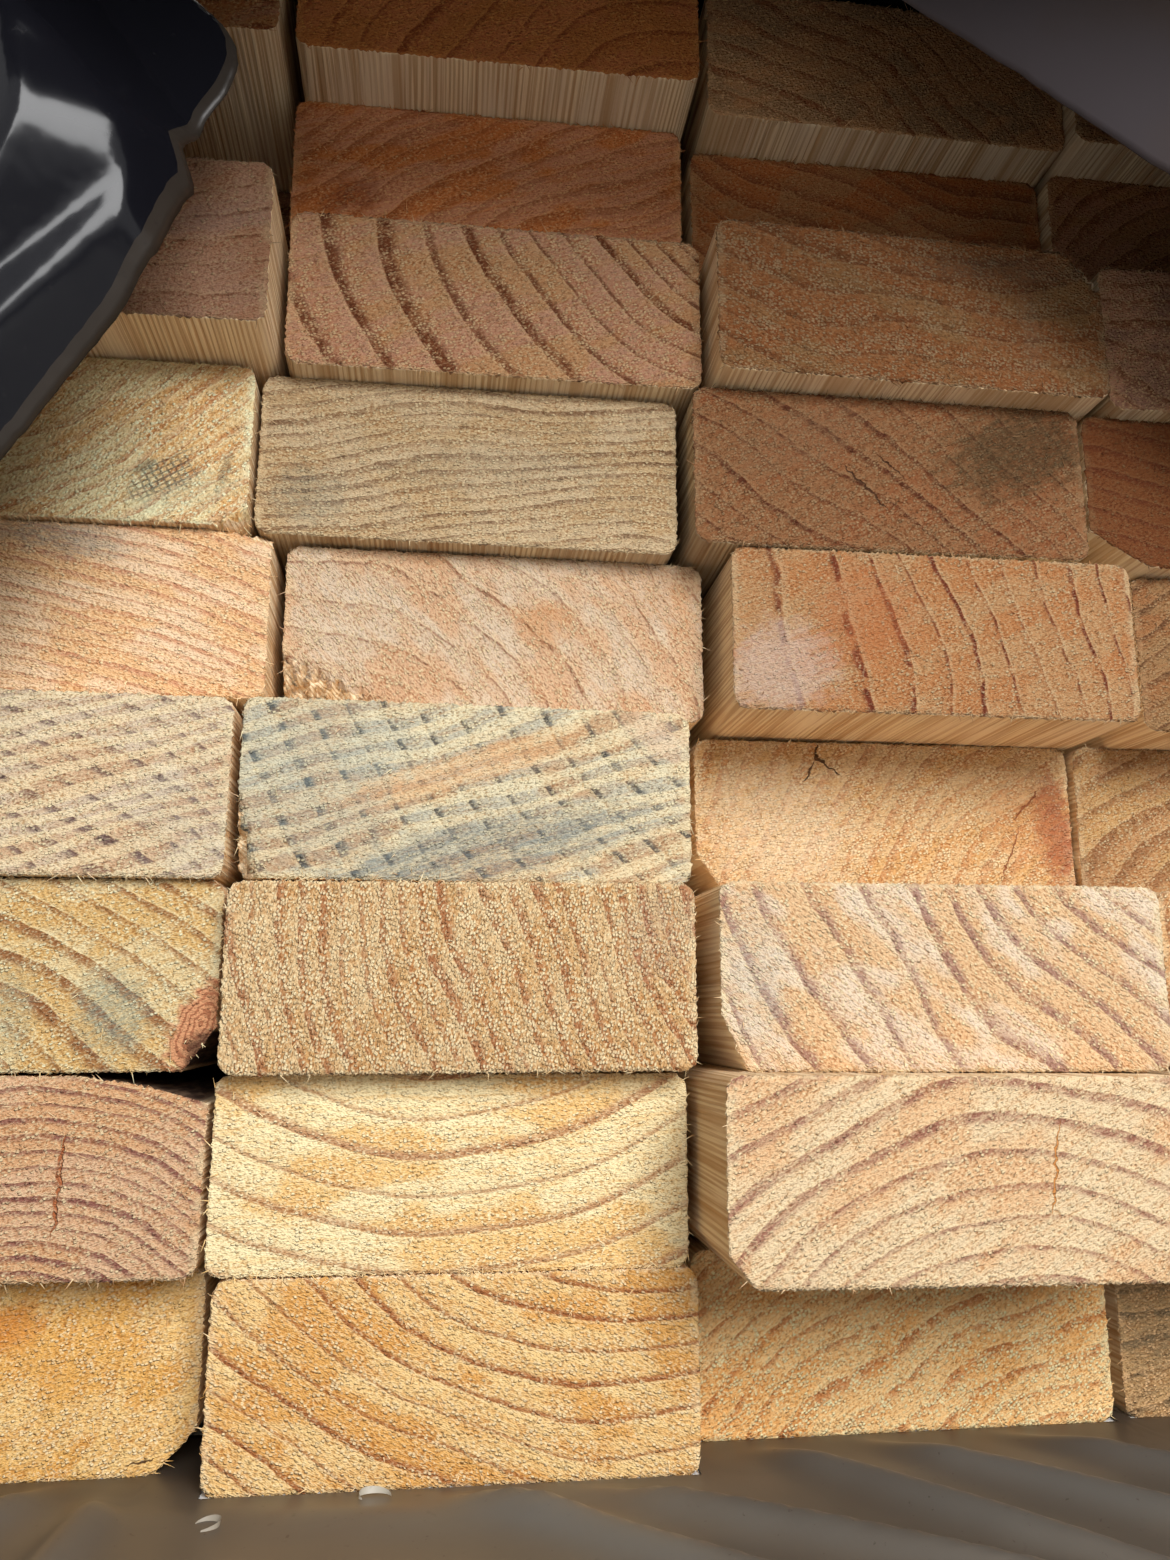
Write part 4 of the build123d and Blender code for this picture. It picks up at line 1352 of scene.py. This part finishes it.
def crease_mm(x: float, z: float, reach: float, turn: float, width: float, height: float,
              soft: bool = False) -> Crease:
    """Make a crease from lengths in mm and a direction in radians."""
    return Crease((x * MM, z * MM), reach * MM, turn, width * MM, height * MM, soft)


def facet_mm(x: float, z: float, height: float, slope: Point, valley: int = 0) -> Facet:
    """Make a flat face from a place and height in mm."""
    return Facet((x * MM, z * MM), height * MM, slope, valley)


def faceted(u: np.ndarray, v: np.ndarray, facets: Sequence[Facet], ridge: float = 0.5 * MM,
            dip: float = 0.15 * MM) -> np.ndarray:
    """Height of a film of flat faces: faces of one valley meet in a dip, the others in ridges.

    Args:
        u: First coordinate in metres.
        v: Second coordinate in metres.
        facets: The faces.
        ridge: How soft the ridges are, in metres.
        dip: How soft the dips are, in metres.

    Returns:
        The height in metres.
    """
    if not facets:
        return np.zeros_like(u)
    hollow = [f.over(u, v) for f in facets if f.valley]
    planes = [f.over(u, v) for f in facets if not f.valley]
    planes.append(dip * np.logaddexp.reduce(np.array(hollow) / dip))
    return -ridge * np.logaddexp.reduce(-np.array(planes) / ridge)


def random_creases(rng: np.random.Generator, count: int, u_span: Point, v_span: Point, turn: float,
                   spread: float, reach: Point, height: Point) -> list[Crease]:
    """Draw random creases about one direction.

    Args:
        rng: Source of random numbers.
        count: How many.
        u_span: Range of the first coordinate.
        v_span: Range of the second coordinate.
        turn: Mean direction in radians.
        spread: Deviation of the direction in radians.
        reach: Least and greatest half length.
        height: Least and greatest height.

    Returns:
        The creases.
    """
    made = []
    for _ in range(count):
        middle = (rng.uniform(*u_span), rng.uniform(*v_span))
        made.append(Crease(middle, rng.uniform(*reach), rng.normal(turn, spread), rng.uniform(3, 11) * MM,
                           rng.uniform(*height)))
    return made


def grid_object(name: str, points: np.ndarray, finishes: Sequence[FilmFinish], flip: bool = False,
                keep: Optional[np.ndarray] = None, slots: Optional[np.ndarray] = None) -> bpy.types.Object:
    """Make a film piece from a grid of points, with a thin wall.

    Args:
        name: The piece's name.
        points: Rows by columns by 3 coordinates in metres.
        finishes: Finish of the outer side, the inner side and any more.
        flip: Whether to turn the faces round.
        keep: Which cells stay, as rows less one by columns less one.
        slots: Material slot of each cell.

    Returns:
        The film object.
    """
    rows, columns = points.shape[:2]
    index = np.arange(rows * columns).reshape(rows, columns)
    cells = np.stack([index[:-1, :-1], index[1:, :-1], index[1:, 1:], index[:-1, 1:]], -1)
    if flip:
        cells = cells[..., ::-1]
    chosen = np.ones(cells.shape[:2], bool) if keep is None else keep
    mesh = bpy.data.meshes.new(name)
    mesh.from_pydata(points.reshape(-1, 3).tolist(), [], cells[chosen].tolist())
    if slots is not None:
        mesh.polygons.foreach_set("material_index", slots[chosen].astype(np.int32))
    mesh.polygons.foreach_set("use_smooth", np.ones(len(mesh.polygons), bool))
    made = bmesh.new()
    made.from_mesh(mesh)
    bmesh.ops.remove_doubles(made, verts=made.verts, dist=WELD_DISTANCE)
    bmesh.ops.delete(made, geom=[v for v in made.verts if not v.link_faces], context="VERTS")
    made.to_mesh(mesh)
    made.free()
    piece = bpy.data.objects.new(name, mesh)
    bpy.context.scene.collection.objects.link(piece)
    for finish in finishes:
        mesh.materials.append(finish.material())
    wall = piece.modifiers.new("wall", "SOLIDIFY")
    wall.thickness = FILM_WALL
    wall.offset = -1.0
    wall.material_offset = 1
    wall.use_rim = True
    plain = bpy.data.meshes.new_from_object(piece.evaluated_get(bpy.context.evaluated_depsgraph_get()))
    piece.modifiers.clear()
    piece.data = plain
    plain.name = name
    return piece


# Torn edge of the left corner from below upwards, as x and z in mm
LEFT_TORN_MM: tuple[Point, ...] = (
    (-150, 128), (-129.5, 170.8), (-123.4, 180.1), (-116.6, 190.8), (-110.5, 200.5), (-104.6, 212.7),
    (-101.8, 224.4), (-100.2, 228.4), (-102.2, 234.6), (-99.9, 244.7), (-96.2, 251.5), (-94.7, 257.2),
    (-95.3, 261.3), (-97.6, 265.4), (-103.7, 270.2), (-99.7, 290))
LEFT_FACETS = (
    facet_mm(-109.9, 223.1, 7.2, (-0.51, 0.40), 1), facet_mm(-109.9, 223.1, 7.2, (-0.11, 0.06), 1),
    facet_mm(-116.5, 225.7, 11.6, (-0.51, 0.12)), facet_mm(-117.2, 231.7, 12.6, (-0.45, -0.14)),
    facet_mm(-110.0, 232.6, 9.1, (-1.00, -0.72)), facet_mm(-110.0, 232.6, 9.1, (-1.31, 0.08)),
    facet_mm(-108.6, 217.5, 6.7, (-0.71, 0.51)), facet_mm(-124.5, 232.6, 15.8, (0.30, 0.05)))
LEFT_CREASES = (crease_mm(-160, 290, 50, 2.6, 8, 5), crease_mm(-170, 130, 50, 1.3, 6, 4),
                crease_mm(-123, 244.5, 5, -0.2, 3, 0.9, True))
RIGHT_CREASES = (crease_mm(110, 275, 110, 2.56, 22, 5), crease_mm(150, 290, 70, 2.4, 16, 4))


@dataclass
class FilmWrap:
    """The film around the pack: cover with raised end flap, two torn corners and the flap on the floor."""

    half_width: float
    height: float
    rear: float
    mouth: float
    flap_end: float
    radius: float = 6 * MM
    gap: float = 0.35 * MM
    left_top: float = -88 * MM
    left_knee: Point = (-97 * MM, 240 * MM)
    left_foot: float = 41 * MM
    right_top: float = -41 * MM
    right_foot: float = 175 * MM
    near_reach: float = 0.26
    roof_sag: float = 46 * MM
    roof_arch: float = 12 * MM
    lift_limit: float = 7 * MM
    row_pitch_mm: float = 36.4
    column_pitch_mm: float = 95.0
    rows_near: int = 44
    rows_far: int = 170
    seed: int = 7
    pieces: list[bpy.types.Object] = field(default_factory=list)

    @classmethod
    def measure(cls) -> "FilmWrap":
        """Take the wrap's size from its solid."""
        low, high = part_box("film_wrap")
        first_end = min(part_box(Board(*key).node)[0].y for key in LOOKS)
        return cls(high.x, high.z, high.y, first_end - 22 * MM, low.y)

    def outline(self) -> tuple[np.ndarray, np.ndarray, np.ndarray]:
        """The wrap's girth from the lower left edge over the top to the lower right.

        Returns:
            Points as x and z, outward directions, and the distance along the girth.
        """
        w, h, r = self.half_width - self.gap, self.height - self.gap, self.radius
        points, out = [], []
        for z in np.linspace(0.4 * MM, h - r, SIDE_POINTS)[:-1]:
            points.append((-w, z))
            out.append((-1, 0))
        for a in np.linspace(math.pi, math.pi / 2, ROUND_POINTS):
            points.append((-w + r + r * math.cos(a), h - r + r * math.sin(a)))
            out.append((math.cos(a), math.sin(a)))
        for x in np.linspace(-w + r, w - r, TOP_POINTS)[1:-1]:
            points.append((x, h))
            out.append((0, 1))
        points, out = np.array(points), np.array(out)
        mirrored = len(points) - (TOP_POINTS - 2)
        points = np.concatenate([points, points[:mirrored][::-1] * (-1, 1)])
        out = np.concatenate([out, out[:mirrored][::-1] * (-1, 1)])
        girth = np.concatenate([[0], np.cumsum(np.linalg.norm(np.diff(points, axis=0), axis=1))])
        return points, out, girth

    def build(self) -> None:
        """Build all pieces of the film."""
        rng = np.random.default_rng(self.seed)
        self.build_cover(rng)
        self.build_left_corner(rng)
        self.build_right_corner(rng)
        self.build_floor_flap()

    def build_cover(self, rng: np.random.Generator) -> None:
        """Cover over sides, top and far end, with the cut end flap raised in front."""
        ring, out, girth = self.outline()
        length = self.rear - self.mouth
        near = np.linspace(0, self.near_reach, self.rows_near)[:-1]
        far = np.linspace(self.near_reach, length - self.gap, self.rows_far)
        flap = np.linspace(self.mouth - self.flap_end - 5 * MM, 0, 19)[:-1] * -1
        t = np.concatenate([flap, near, far])
        lift = self.cover_lift(rng, ring, out, girth, t, length)
        rear_round = np.clip((t - (length - self.radius)) / self.radius, 0, 1)
        lift -= (self.radius * (1 - np.sqrt(np.clip(1 - rear_round ** 2, 0, 1))))[:, None]
        x = ring[:, 0] + out[:, 0] * lift
        z = ring[:, 1] + out[:, 1] * lift
        y = np.repeat((self.mouth + t)[:, None], len(girth), 1)
        ragged = np.array([noise.noise(Vector((g * 30, 1.0, 0)))
                           + 0.5 * noise.noise(Vector((g * 110, 2.0, 0))) for g in girth])
        edge = np.clip(1 - np.abs(t) / 0.012, 0, 1)[:, None] * ragged[None, :] * 2.5 * MM
        top = out[:, 1] > 0.99
        y[:, ~top] += edge[:, ~top]
        ahead = np.clip(-t / (self.mouth - self.flap_end), 0, 1)[:, None]
        sway = np.array([noise.noise(Vector((g * 9, 5.0, 0))) for g in girth])[None, :]
        across = (ring[:, 0] / self.half_width)[None, :]
        sag = ahead ** 1.4 * (self.roof_sag - self.roof_arch * across ** 2)
        z += top[None, :] * (ahead * sway * 7 * MM - sag)
        y += top[None, :] * ahead * ragged[None, :] * 4 * MM
        flap_cells = np.ones((len(t) - 1, len(girth) - 1), bool)
        flap_cells[:len(flap), :] = (top[1:] & top[:-1])[None, :]
        cover = np.stack([x, y, z], -1)
        whole = np.concatenate([cover, self.far_end(cover[-1])])
        keep = np.concatenate([flap_cells, np.ones((FAR_END_STEPS, len(girth) - 1), bool)])
        piece = grid_object("film_cover", whole, (PALE_FILM, BLACK_FILM), True, keep)
        self.add(piece, (1.06, 2.95), "draped",
                 ["board_row1_place1", "board_row1_place2", "board_row1_place3", "board_row1_place4"], None)

    def cover_lift(self, rng: np.random.Generator, ring: np.ndarray, out: np.ndarray, girth: np.ndarray,
                   t: np.ndarray, length: float) -> np.ndarray:
        """How far the cover stands off the boards.

        Args:
            rng: Source of random numbers.
            ring: The girth's points as x and z.
            out: Outward directions of the points.
            girth: Distance of the points along the girth.
            t: Distances behind the mouth.
            length: Length from the mouth to the far end.

        Returns:
            The height in metres for each distance behind the mouth and each point of the girth.
        """
        total = girth[-1]
        creases = random_creases(rng, 130, (0, total), (0, length), 0.0, 0.35, (0.05, 0.2), (2 * MM, 6 * MM))
        creases += random_creases(rng, 110, (0, total), (0, length), math.pi / 2, 0.3, (0.1, 0.5),
                                  (2 * MM, 5.5 * MM))
        creases += random_creases(rng, 50, (0, total), (-0.06, 0.25), 0.6, 0.9, (0.03, 0.12),
                                  (1 * MM, 4 * MM))
        creases += random_creases(rng, 40, (0, total), (length - 0.25, length), -0.7, 0.8, (0.03, 0.14),
                                  (1 * MM, 4 * MM))
        u, v = np.meshgrid(girth, t)
        lift = creased(u, v, creases)
        lift = np.array([[lift[i, j] + 1.1 * MM * abs(noise.noise(Vector((girth[j] * 14, t[i] * 5, 3.0))))
                          for j in range(len(girth))] for i in range(len(t))])
        pitch = np.where(np.abs(out[:, 0]) > 0.9, ring[:, 1] / self.row_pitch_mm,
                         (ring[:, 0] + self.half_width) / self.column_pitch_mm) / MM
        sunk = np.exp(-((pitch - np.round(pitch)) * 9) ** 2)
        lift += 1.3 * MM * (1 - sunk)[None, :]
        corner = np.abs(out[:, 0] * out[:, 1]) > 0.05
        lift[:, corner] *= 0.35
        return np.clip(lift, 0, self.lift_limit) * np.clip(ring[:, 1] / (25 * MM), 0, 1)

    def far_end(self, last: np.ndarray) -> np.ndarray:
        """The panel over the far end, drawn in from the cover's last ring of points to its middle.

        Args:
            last: The cover's last ring of points.

        Returns:
            Rings of points, the last one at the foot of the middle.
        """
        centre = np.array([0.0, self.rear - self.gap, 0.0])
        panel = []
        for k in range(1, FAR_END_STEPS + 1):
            share = k / FAR_END_STEPS
            points = last * (1 - share) + centre * share
            inward_x = self.half_width - np.abs(points[:, 0])
            down = self.height - points[:, 2]
            over_top = np.clip((inward_x * 1.15 - down * 0.9 + 0.075) / 0.004, 0, 1)
            wave = creased(points[:, 0], points[:, 2], self.rear_creases)
            points[:, 1] = self.rear - self.gap + over_top * 1.6 * MM + wave * (1 - share) ** 0.3
            panel.append(points)
        return np.array(panel)

    @property
    def rear_creases(self) -> list[Crease]:
        """Folds of the far end: two diagonals from the upper corners and a few more."""
        w, h = self.half_width, self.height
        return [Crease((-w * 0.55, h * 0.62), 0.16, -2.3, 5 * MM, 3 * MM),
                Crease((w * 0.55, h * 0.62), 0.16, -0.84, 5 * MM, 3 * MM),
                Crease((0, h * 0.35), 0.17, 0.06, 8 * MM, 2 * MM),
                Crease((-w * 0.2, h * 0.75), 0.12, 0.3, 6 * MM, 1.6 * MM),
                Crease((w * 0.35, h * 0.25), 0.1, 1.2, 6 * MM, 1.8 * MM),
                Crease((-w * 0.6, h * 0.2), 0.1, 1.9, 5 * MM, 1.6 * MM)]

    def corner(self, name: str, rim: np.ndarray, torn: np.ndarray, bulge: float, creases: Sequence[Crease],
               finishes: Sequence[FilmFinish], flip: bool, rim_cells: int, flat: Point, curl: float,
               facets: Sequence[Facet] = ()) -> None:
        """A torn corner of film that hangs in the mouth.

        Args:
            name: The piece's name.
            rim: Points as x and z where it hangs on the cover.
            torn: Points as x and z of its torn edge, one for each rim point.
            bulge: How far its middle stands out to the front.
            creases: Its folds over x and z.
            finishes: Finish of the front, of the back, and of the torn rim.
            flip: Whether to turn the faces round.
            rim_cells: How many rows along the torn edge have the rim's finish.
            flat: Width and length of the flat piece.
            curl: How far the torn edge curls to the front.
            facets: Its large flat faces.
        """
        share = np.linspace(0, 1, CORNER_STEPS + 1)[:, None, None]
        flat_points = rim[None] * (1 - share) + torn[None] * share
        x, z = flat_points[..., 0], flat_points[..., 1]
        s = np.repeat(share[..., 0], rim.shape[0], 1)
        lift = bulge * np.sin(np.clip(s, 0, 1) * math.pi) ** 0.8 + curl * s ** 3
        crumple = noise_over(x, z, 24, 4.0)
        folds = creased(x, z, creases) + crumple * (0.3 if facets else 1.0) * MM + faceted(x, z, facets)
        lift = np.maximum(lift + folds * np.clip(s * 5, 0, 1), -6 * MM)
        y = self.mouth + 1.5 * MM - lift
        slots = np.zeros((CORNER_STEPS, rim.shape[0] - 1), int)
        if rim_cells:
            slots[-rim_cells:] = 2
        points = np.stack([x, y, z], -1)
        area = 0.5 * flat[0] * flat[1] * 1.1
        self.add(grid_object(name, points, finishes, flip, None, slots), flat, "hung", ["film_cover"], area)

    @staticmethod
    def resample(path: Sequence[Point], count: int) -> np.ndarray:
        """Spread points evenly along a path.

        Args:
            path: Corners of the path.
            count: How many points to spread.

        Returns:
            The points.
        """
        corners = np.array(path, float)
        run = np.concatenate([[0], np.cumsum(np.linalg.norm(np.diff(corners, axis=0), axis=1))])
        at = np.linspace(0, run[-1], count)
        return np.stack([np.interp(at, run, corners[:, 0]), np.interp(at, run, corners[:, 1])], -1)

    def build_left_corner(self, rng: np.random.Generator) -> None:
        """The crumpled corner at the upper left, with its black side to the front."""
        w, h = self.half_width - 2 * MM, self.height - 2 * MM
        rim = self.resample([(-w, self.left_foot), (-w, h), (self.left_top, h)], LEFT_RIM_POINTS)
        path = [(x * MM, z * MM) for x, z in LEFT_TORN_MM]
        torn = self.resample([(-w, self.left_foot), *path, (self.left_top, h)], LEFT_RIM_POINTS)
        fade = np.sin(np.linspace(0, math.pi, LEFT_RIM_POINTS))[:, None]
        torn += rng.normal(0, 0.06 * MM, torn.shape) * fade
        self.corner("film_torn_corner_left", rim, torn, 0.0, LEFT_CREASES,
                    (BLACK_FILM, PALE_FILM, RIM_FILM), False, 2, (0.13, 0.32), 0.0, LEFT_FACETS)

    def build_right_corner(self, rng: np.random.Generator) -> None:
        """The smooth corner at the upper right, with its pale side to the front, coloured dark as painted
        shade.
        """
        w, h = self.half_width - 2 * MM, self.height - 2 * MM
        rim = self.resample([(w, self.right_foot), (w, h), (self.right_top, h)], RIGHT_RIM_POINTS)
        torn = self.resample([(w, self.right_foot), (self.right_top, h)], RIGHT_RIM_POINTS)
        fade = np.sin(np.linspace(0, math.pi, RIGHT_RIM_POINTS))[:, None]
        torn += rng.normal(0, 0.12 * MM, torn.shape) * fade
        self.corner("film_torn_corner_right", rim, torn, 9 * MM, RIGHT_CREASES,
                    (SHADED_MOUTH_FILM, BLACK_FILM, SHADED_MOUTH_FILM), True, 0, (0.25, 0.19), 2 * MM)

    @staticmethod
    def board_fronts(x: np.ndarray) -> np.ndarray:
        """Where the film on the floor meets the lowest boards.

        Args:
            x: Places across the pack, in metres.

        Returns:
            The y of the board end at each place, less 1 mm, and minus infinity between boards.
        """
        fronts = np.full(len(x), -np.inf)
        for place in range(1, 5):
            board = Board(9, place)
            spot = BoardPlace.measure(board.node, board.width, board.thickness)
            cut = CUTS.get(board.key)
            reach = np.where((x - spot.x) * (cut.side if cut and cut.face < 0 else 0) > 0,
                             board.width / 2 - (cut.width if cut else 0) * MM, board.width / 2 + 0.5 * MM)
            over = np.abs(x - spot.x) < reach
            fronts[over] = spot.front + (x[over] - spot.x) * math.tan(spot.skew) - 1.0 * MM
        return fronts

    def build_floor_flap(self) -> None:
        """The end flap that lies on the floor, in soft diagonal folds."""
        w = self.half_width - 1.5 * MM
        x = np.linspace(-w, w, 300)
        fronts = self.board_fronts(x)
        open_gap = np.isinf(fronts)
        ends = np.where(open_gap, fronts[~open_gap].max() + 14 * MM, fronts)
        waves = np.array([abs(noise.noise(Vector((a * 25, 8.0, 0)))) for a in x])
        front = self.flap_end + 2 * MM + waves * 6 * MM
        straight = fronts[~open_gap].min() - 2 * MM
        share = np.linspace(0, 1, 44)[:-1, None]
        last = np.linspace(0, 1, 20)[:, None]
        y = np.concatenate([front * (1 - share) + straight * share, straight * (1 - last) + ends * last])
        xs = np.repeat(x[None, :], len(y), 0)
        back = fronts[~open_gap].max()
        creases = [Crease((place, back - 0.05), 0.085, turn, 4.6 * MM, 4.2 * MM, True)
                   for place, turn in ((-0.018, -0.69), (0.014, -0.6), (0.042, -0.92), (0.072, -0.84),
                                       (0.105, -0.8), (0.14, -0.9), (-0.11, 1.5), (-0.135, 1.2),
                                       (-0.17, 1.0))]
        creases += [Crease((-0.06, back - 0.03), 0.05, -0.2, 7 * MM, 2 * MM, True),
                    Crease((-0.02, back - 0.11), 0.2, -0.2, 10 * MM, 4 * MM, True)]
        height = creased(xs, y, creases)
        lifted = np.interp(x, x[~open_gap], fronts[~open_gap])
        lifted = np.convolve(np.pad(lifted, 12, mode="edge"), np.full(25, 1 / 25), "valid")
        ramp = np.clip((lifted[None, :] - y) / (18 * MM), 0.0, 1)
        height *= ramp * ramp * (3 - 2 * ramp)
        from_gap = np.abs(x[:, None] - x[None, open_gap]).min(1)
        beside = np.exp(-(from_gap / (7 * MM)) ** 2)[None, :] * np.clip((y - straight) / (8 * MM) + 1, 0, 1)
        height *= 1 - beside
        z = 0.45 * MM + np.clip(height, 0, 9 * MM)
        z += 0.25 * MM * np.abs(noise_over(xs, y, 60, 9.0)) * np.clip((lifted[None, :] - y) / (4 * MM), 0, 1)
        points = np.stack([xs, y, z], -1)
        # The floor piece gets the painted shadow along the boards' feet.
        floor_film = replace(FLOOR_FILM, foot=(back - 20 * MM, back + 2 * MM))
        flap = grid_object("film_floor_flap", points, (floor_film, BLACK_FILM, CURL_FILM), True)
        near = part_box(Board(9, 2).node)[0]
        self.add_curl(flap, (near.x + 3 * MM, near.y - 13 * MM), 0.4)
        self.add_curl(flap, (near.x + 30 * MM, near.y - 5 * MM), 1.9)
        self.add(flap, (0.15, 0.386), "laid", [], None)

    @staticmethod
    def add_curl(flap: bpy.types.Object, spot: Point, turn: float) -> None:
        """Add a small torn strip that curls up from the flap.

        Args:
            flap: The flap's object, with the curl's finish in slot 2.
            spot: Where it stands, as x and y.
            turn: Which way it opens, in radians.
        """
        count = 14
        angles = np.linspace(-1.9, 1.9, count)
        radius = 2.0 * MM * np.linspace(1.2, 0.6, count)
        centre = np.stack([spot[0] + radius * np.cos(angles + turn) * 1.5,
                           spot[1] + radius * np.sin(angles + turn)], -1)
        breadth = 1.0 * MM * np.sin(np.linspace(0.15, math.pi - 0.1, count))
        made = bmesh.new()
        made.from_mesh(flap.data)
        low = [made.verts.new((x, y, 0.9 * MM)) for x, y in centre]
        high = [made.verts.new((x + 0.2 * b, y + 0.4 * b, 1.0 * MM + b))
                for (x, y), b in zip(centre, breadth)]
        for k in range(count - 1):
            for corners in ((low[k], low[k + 1], high[k + 1], high[k]),
                            (high[k], high[k + 1], low[k + 1], low[k])):
                if not made.faces.get(corners):
                    face = made.faces.new(corners)
                    face.material_index = 2
                    face.smooth = True
        made.to_mesh(flap.data)
        made.free()

    def add(self, piece: bpy.types.Object, flat: Point, held: str, rests_on: Sequence[str],
            area: Optional[float]) -> None:
        """Attach one piece of the film to the root, hide the wrap's solid and keep the piece."""
        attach(piece, "root")
        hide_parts("film_wrap")
        self.pieces.append(piece)
        logging.info("film piece %s: %d faces", piece.name, len(piece.data.polygons))


@dataclass
class Studio:
    """Floor, light and camera."""

    lens_px: float = 1154.6
    long_side_px: float = 1560.0
    sensor: float = 36.0
    yaw: float = 7.14
    pitch: float = 11.32
    across: float = -53.5 * MM
    height: float = 84.1 * MM
    setback: float = 206.3 * MM
    foremost: str = "board_row8_place3"

    def build(self) -> None:
        """Add camera, floor, lamps and world."""
        self.add_camera()
        self.add_floor()
        self.add_lights()

    def add_camera(self) -> None:
        """Stand the camera close to the board ends, low and looking up."""
        data = bpy.data.cameras.new("camera")
        data.sensor_width = self.sensor
        data.lens = self.lens_px * self.sensor / self.long_side_px
        data.clip_start, data.clip_end = 0.005, 60
        camera = bpy.data.objects.new("camera", data)
        bpy.context.scene.collection.objects.link(camera)
        camera.location = (self.across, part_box(self.foremost)[0].y - self.setback, self.height)
        camera.rotation_euler = Euler((math.radians(90 + self.pitch), 0, math.radians(-self.yaw)), "XYZ")
        bpy.context.scene.camera = camera

    def add_floor(self) -> None:
        """Lay a wide pale floor."""
        size = 12.0
        mesh = bpy.data.meshes.new("floor")
        corners = [(-size, -size, 0), (size, -size, 0), (size, size, 0), (-size, size, 0)]
        mesh.from_pydata(corners, [], [(0, 1, 2, 3)])
        floor = bpy.data.objects.new("floor", mesh)
        bpy.context.scene.collection.objects.link(floor)
        material, graph, shader = new_material("pale floor")
        seen = graph.node("ShaderNodeLightPath").outputs["Is Camera Ray"]
        graph.feed(shader.inputs["Base Color"],
                   graph.mix(seen, (0.34, 0.335, 0.32, 1), (0.78, 0.77, 0.75, 1)))
        shader.inputs["Roughness"].default_value = 0.9
        mesh.materials.append(material)

    def add_lights(self) -> None:
        """Add soft lamps and a pale world."""
        front = CAD_BOX[0].y
        for name, place, aim, size, power in (
            ("front", (0.4, front - 1.2, 0.84), (0, front + 0.12, 0.12), 0.9, 35.0),
            ("low", (-0.5, front - 1.1, 0.1), (0, front + 0.1, 0.05), 0.4, 1.2),
            ("left", (-2.2, 0.4, 1.6), (0, 0.2, 0.1), 2.0, 34.0),
            ("back", (1.6, 2.4, 1.8), (0, 0.6, 0.1), 2.0, 44.0),
        ):
            data = bpy.data.lights.new(name, "AREA")
            data.shape = "SQUARE"
            data.size = size
            data.energy = power
            lamp = bpy.data.objects.new(name, data)
            bpy.context.scene.collection.objects.link(lamp)
            lamp.location = place
            lamp.rotation_euler = (Vector(aim) - Vector(place)).to_track_quat("-Z", "Y").to_euler()
        world = bpy.data.worlds.new("world")
        bpy.context.scene.world = world
        world.use_nodes = True
        back = world.node_tree.nodes["Background"]
        back.inputs["Color"].default_value = (0.9, 0.9, 0.9, 1)
        graph = Graph(world.node_tree)
        rays = graph.node("ShaderNodeLightPath")
        seen = graph.larger(rays.outputs["Is Camera Ray"], rays.outputs["Is Glossy Ray"])
        graph.feed(back.inputs["Strength"], graph.times_plus(seen, 0.82, 0.18))


def main() -> None:
    """Build the stack, its wrap and the studio."""
    logging.basicConfig(level=logging.INFO, format="%(message)s")
    bpy.context.scene.view_settings.view_transform = "Standard"
    Studio().build()
    shaders = WoodShaders.build()
    for row, place in LOOKS:
        board = Board(row, place)
        piece = board.build()
        board.dress(piece, shaders)
        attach(piece, "root")
        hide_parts(board.node)
        logging.info("board %s: %d faces", board.node, len(piece.data.polygons))
    FilmWrap.measure().build()


if __name__ == "__main__":
    main()
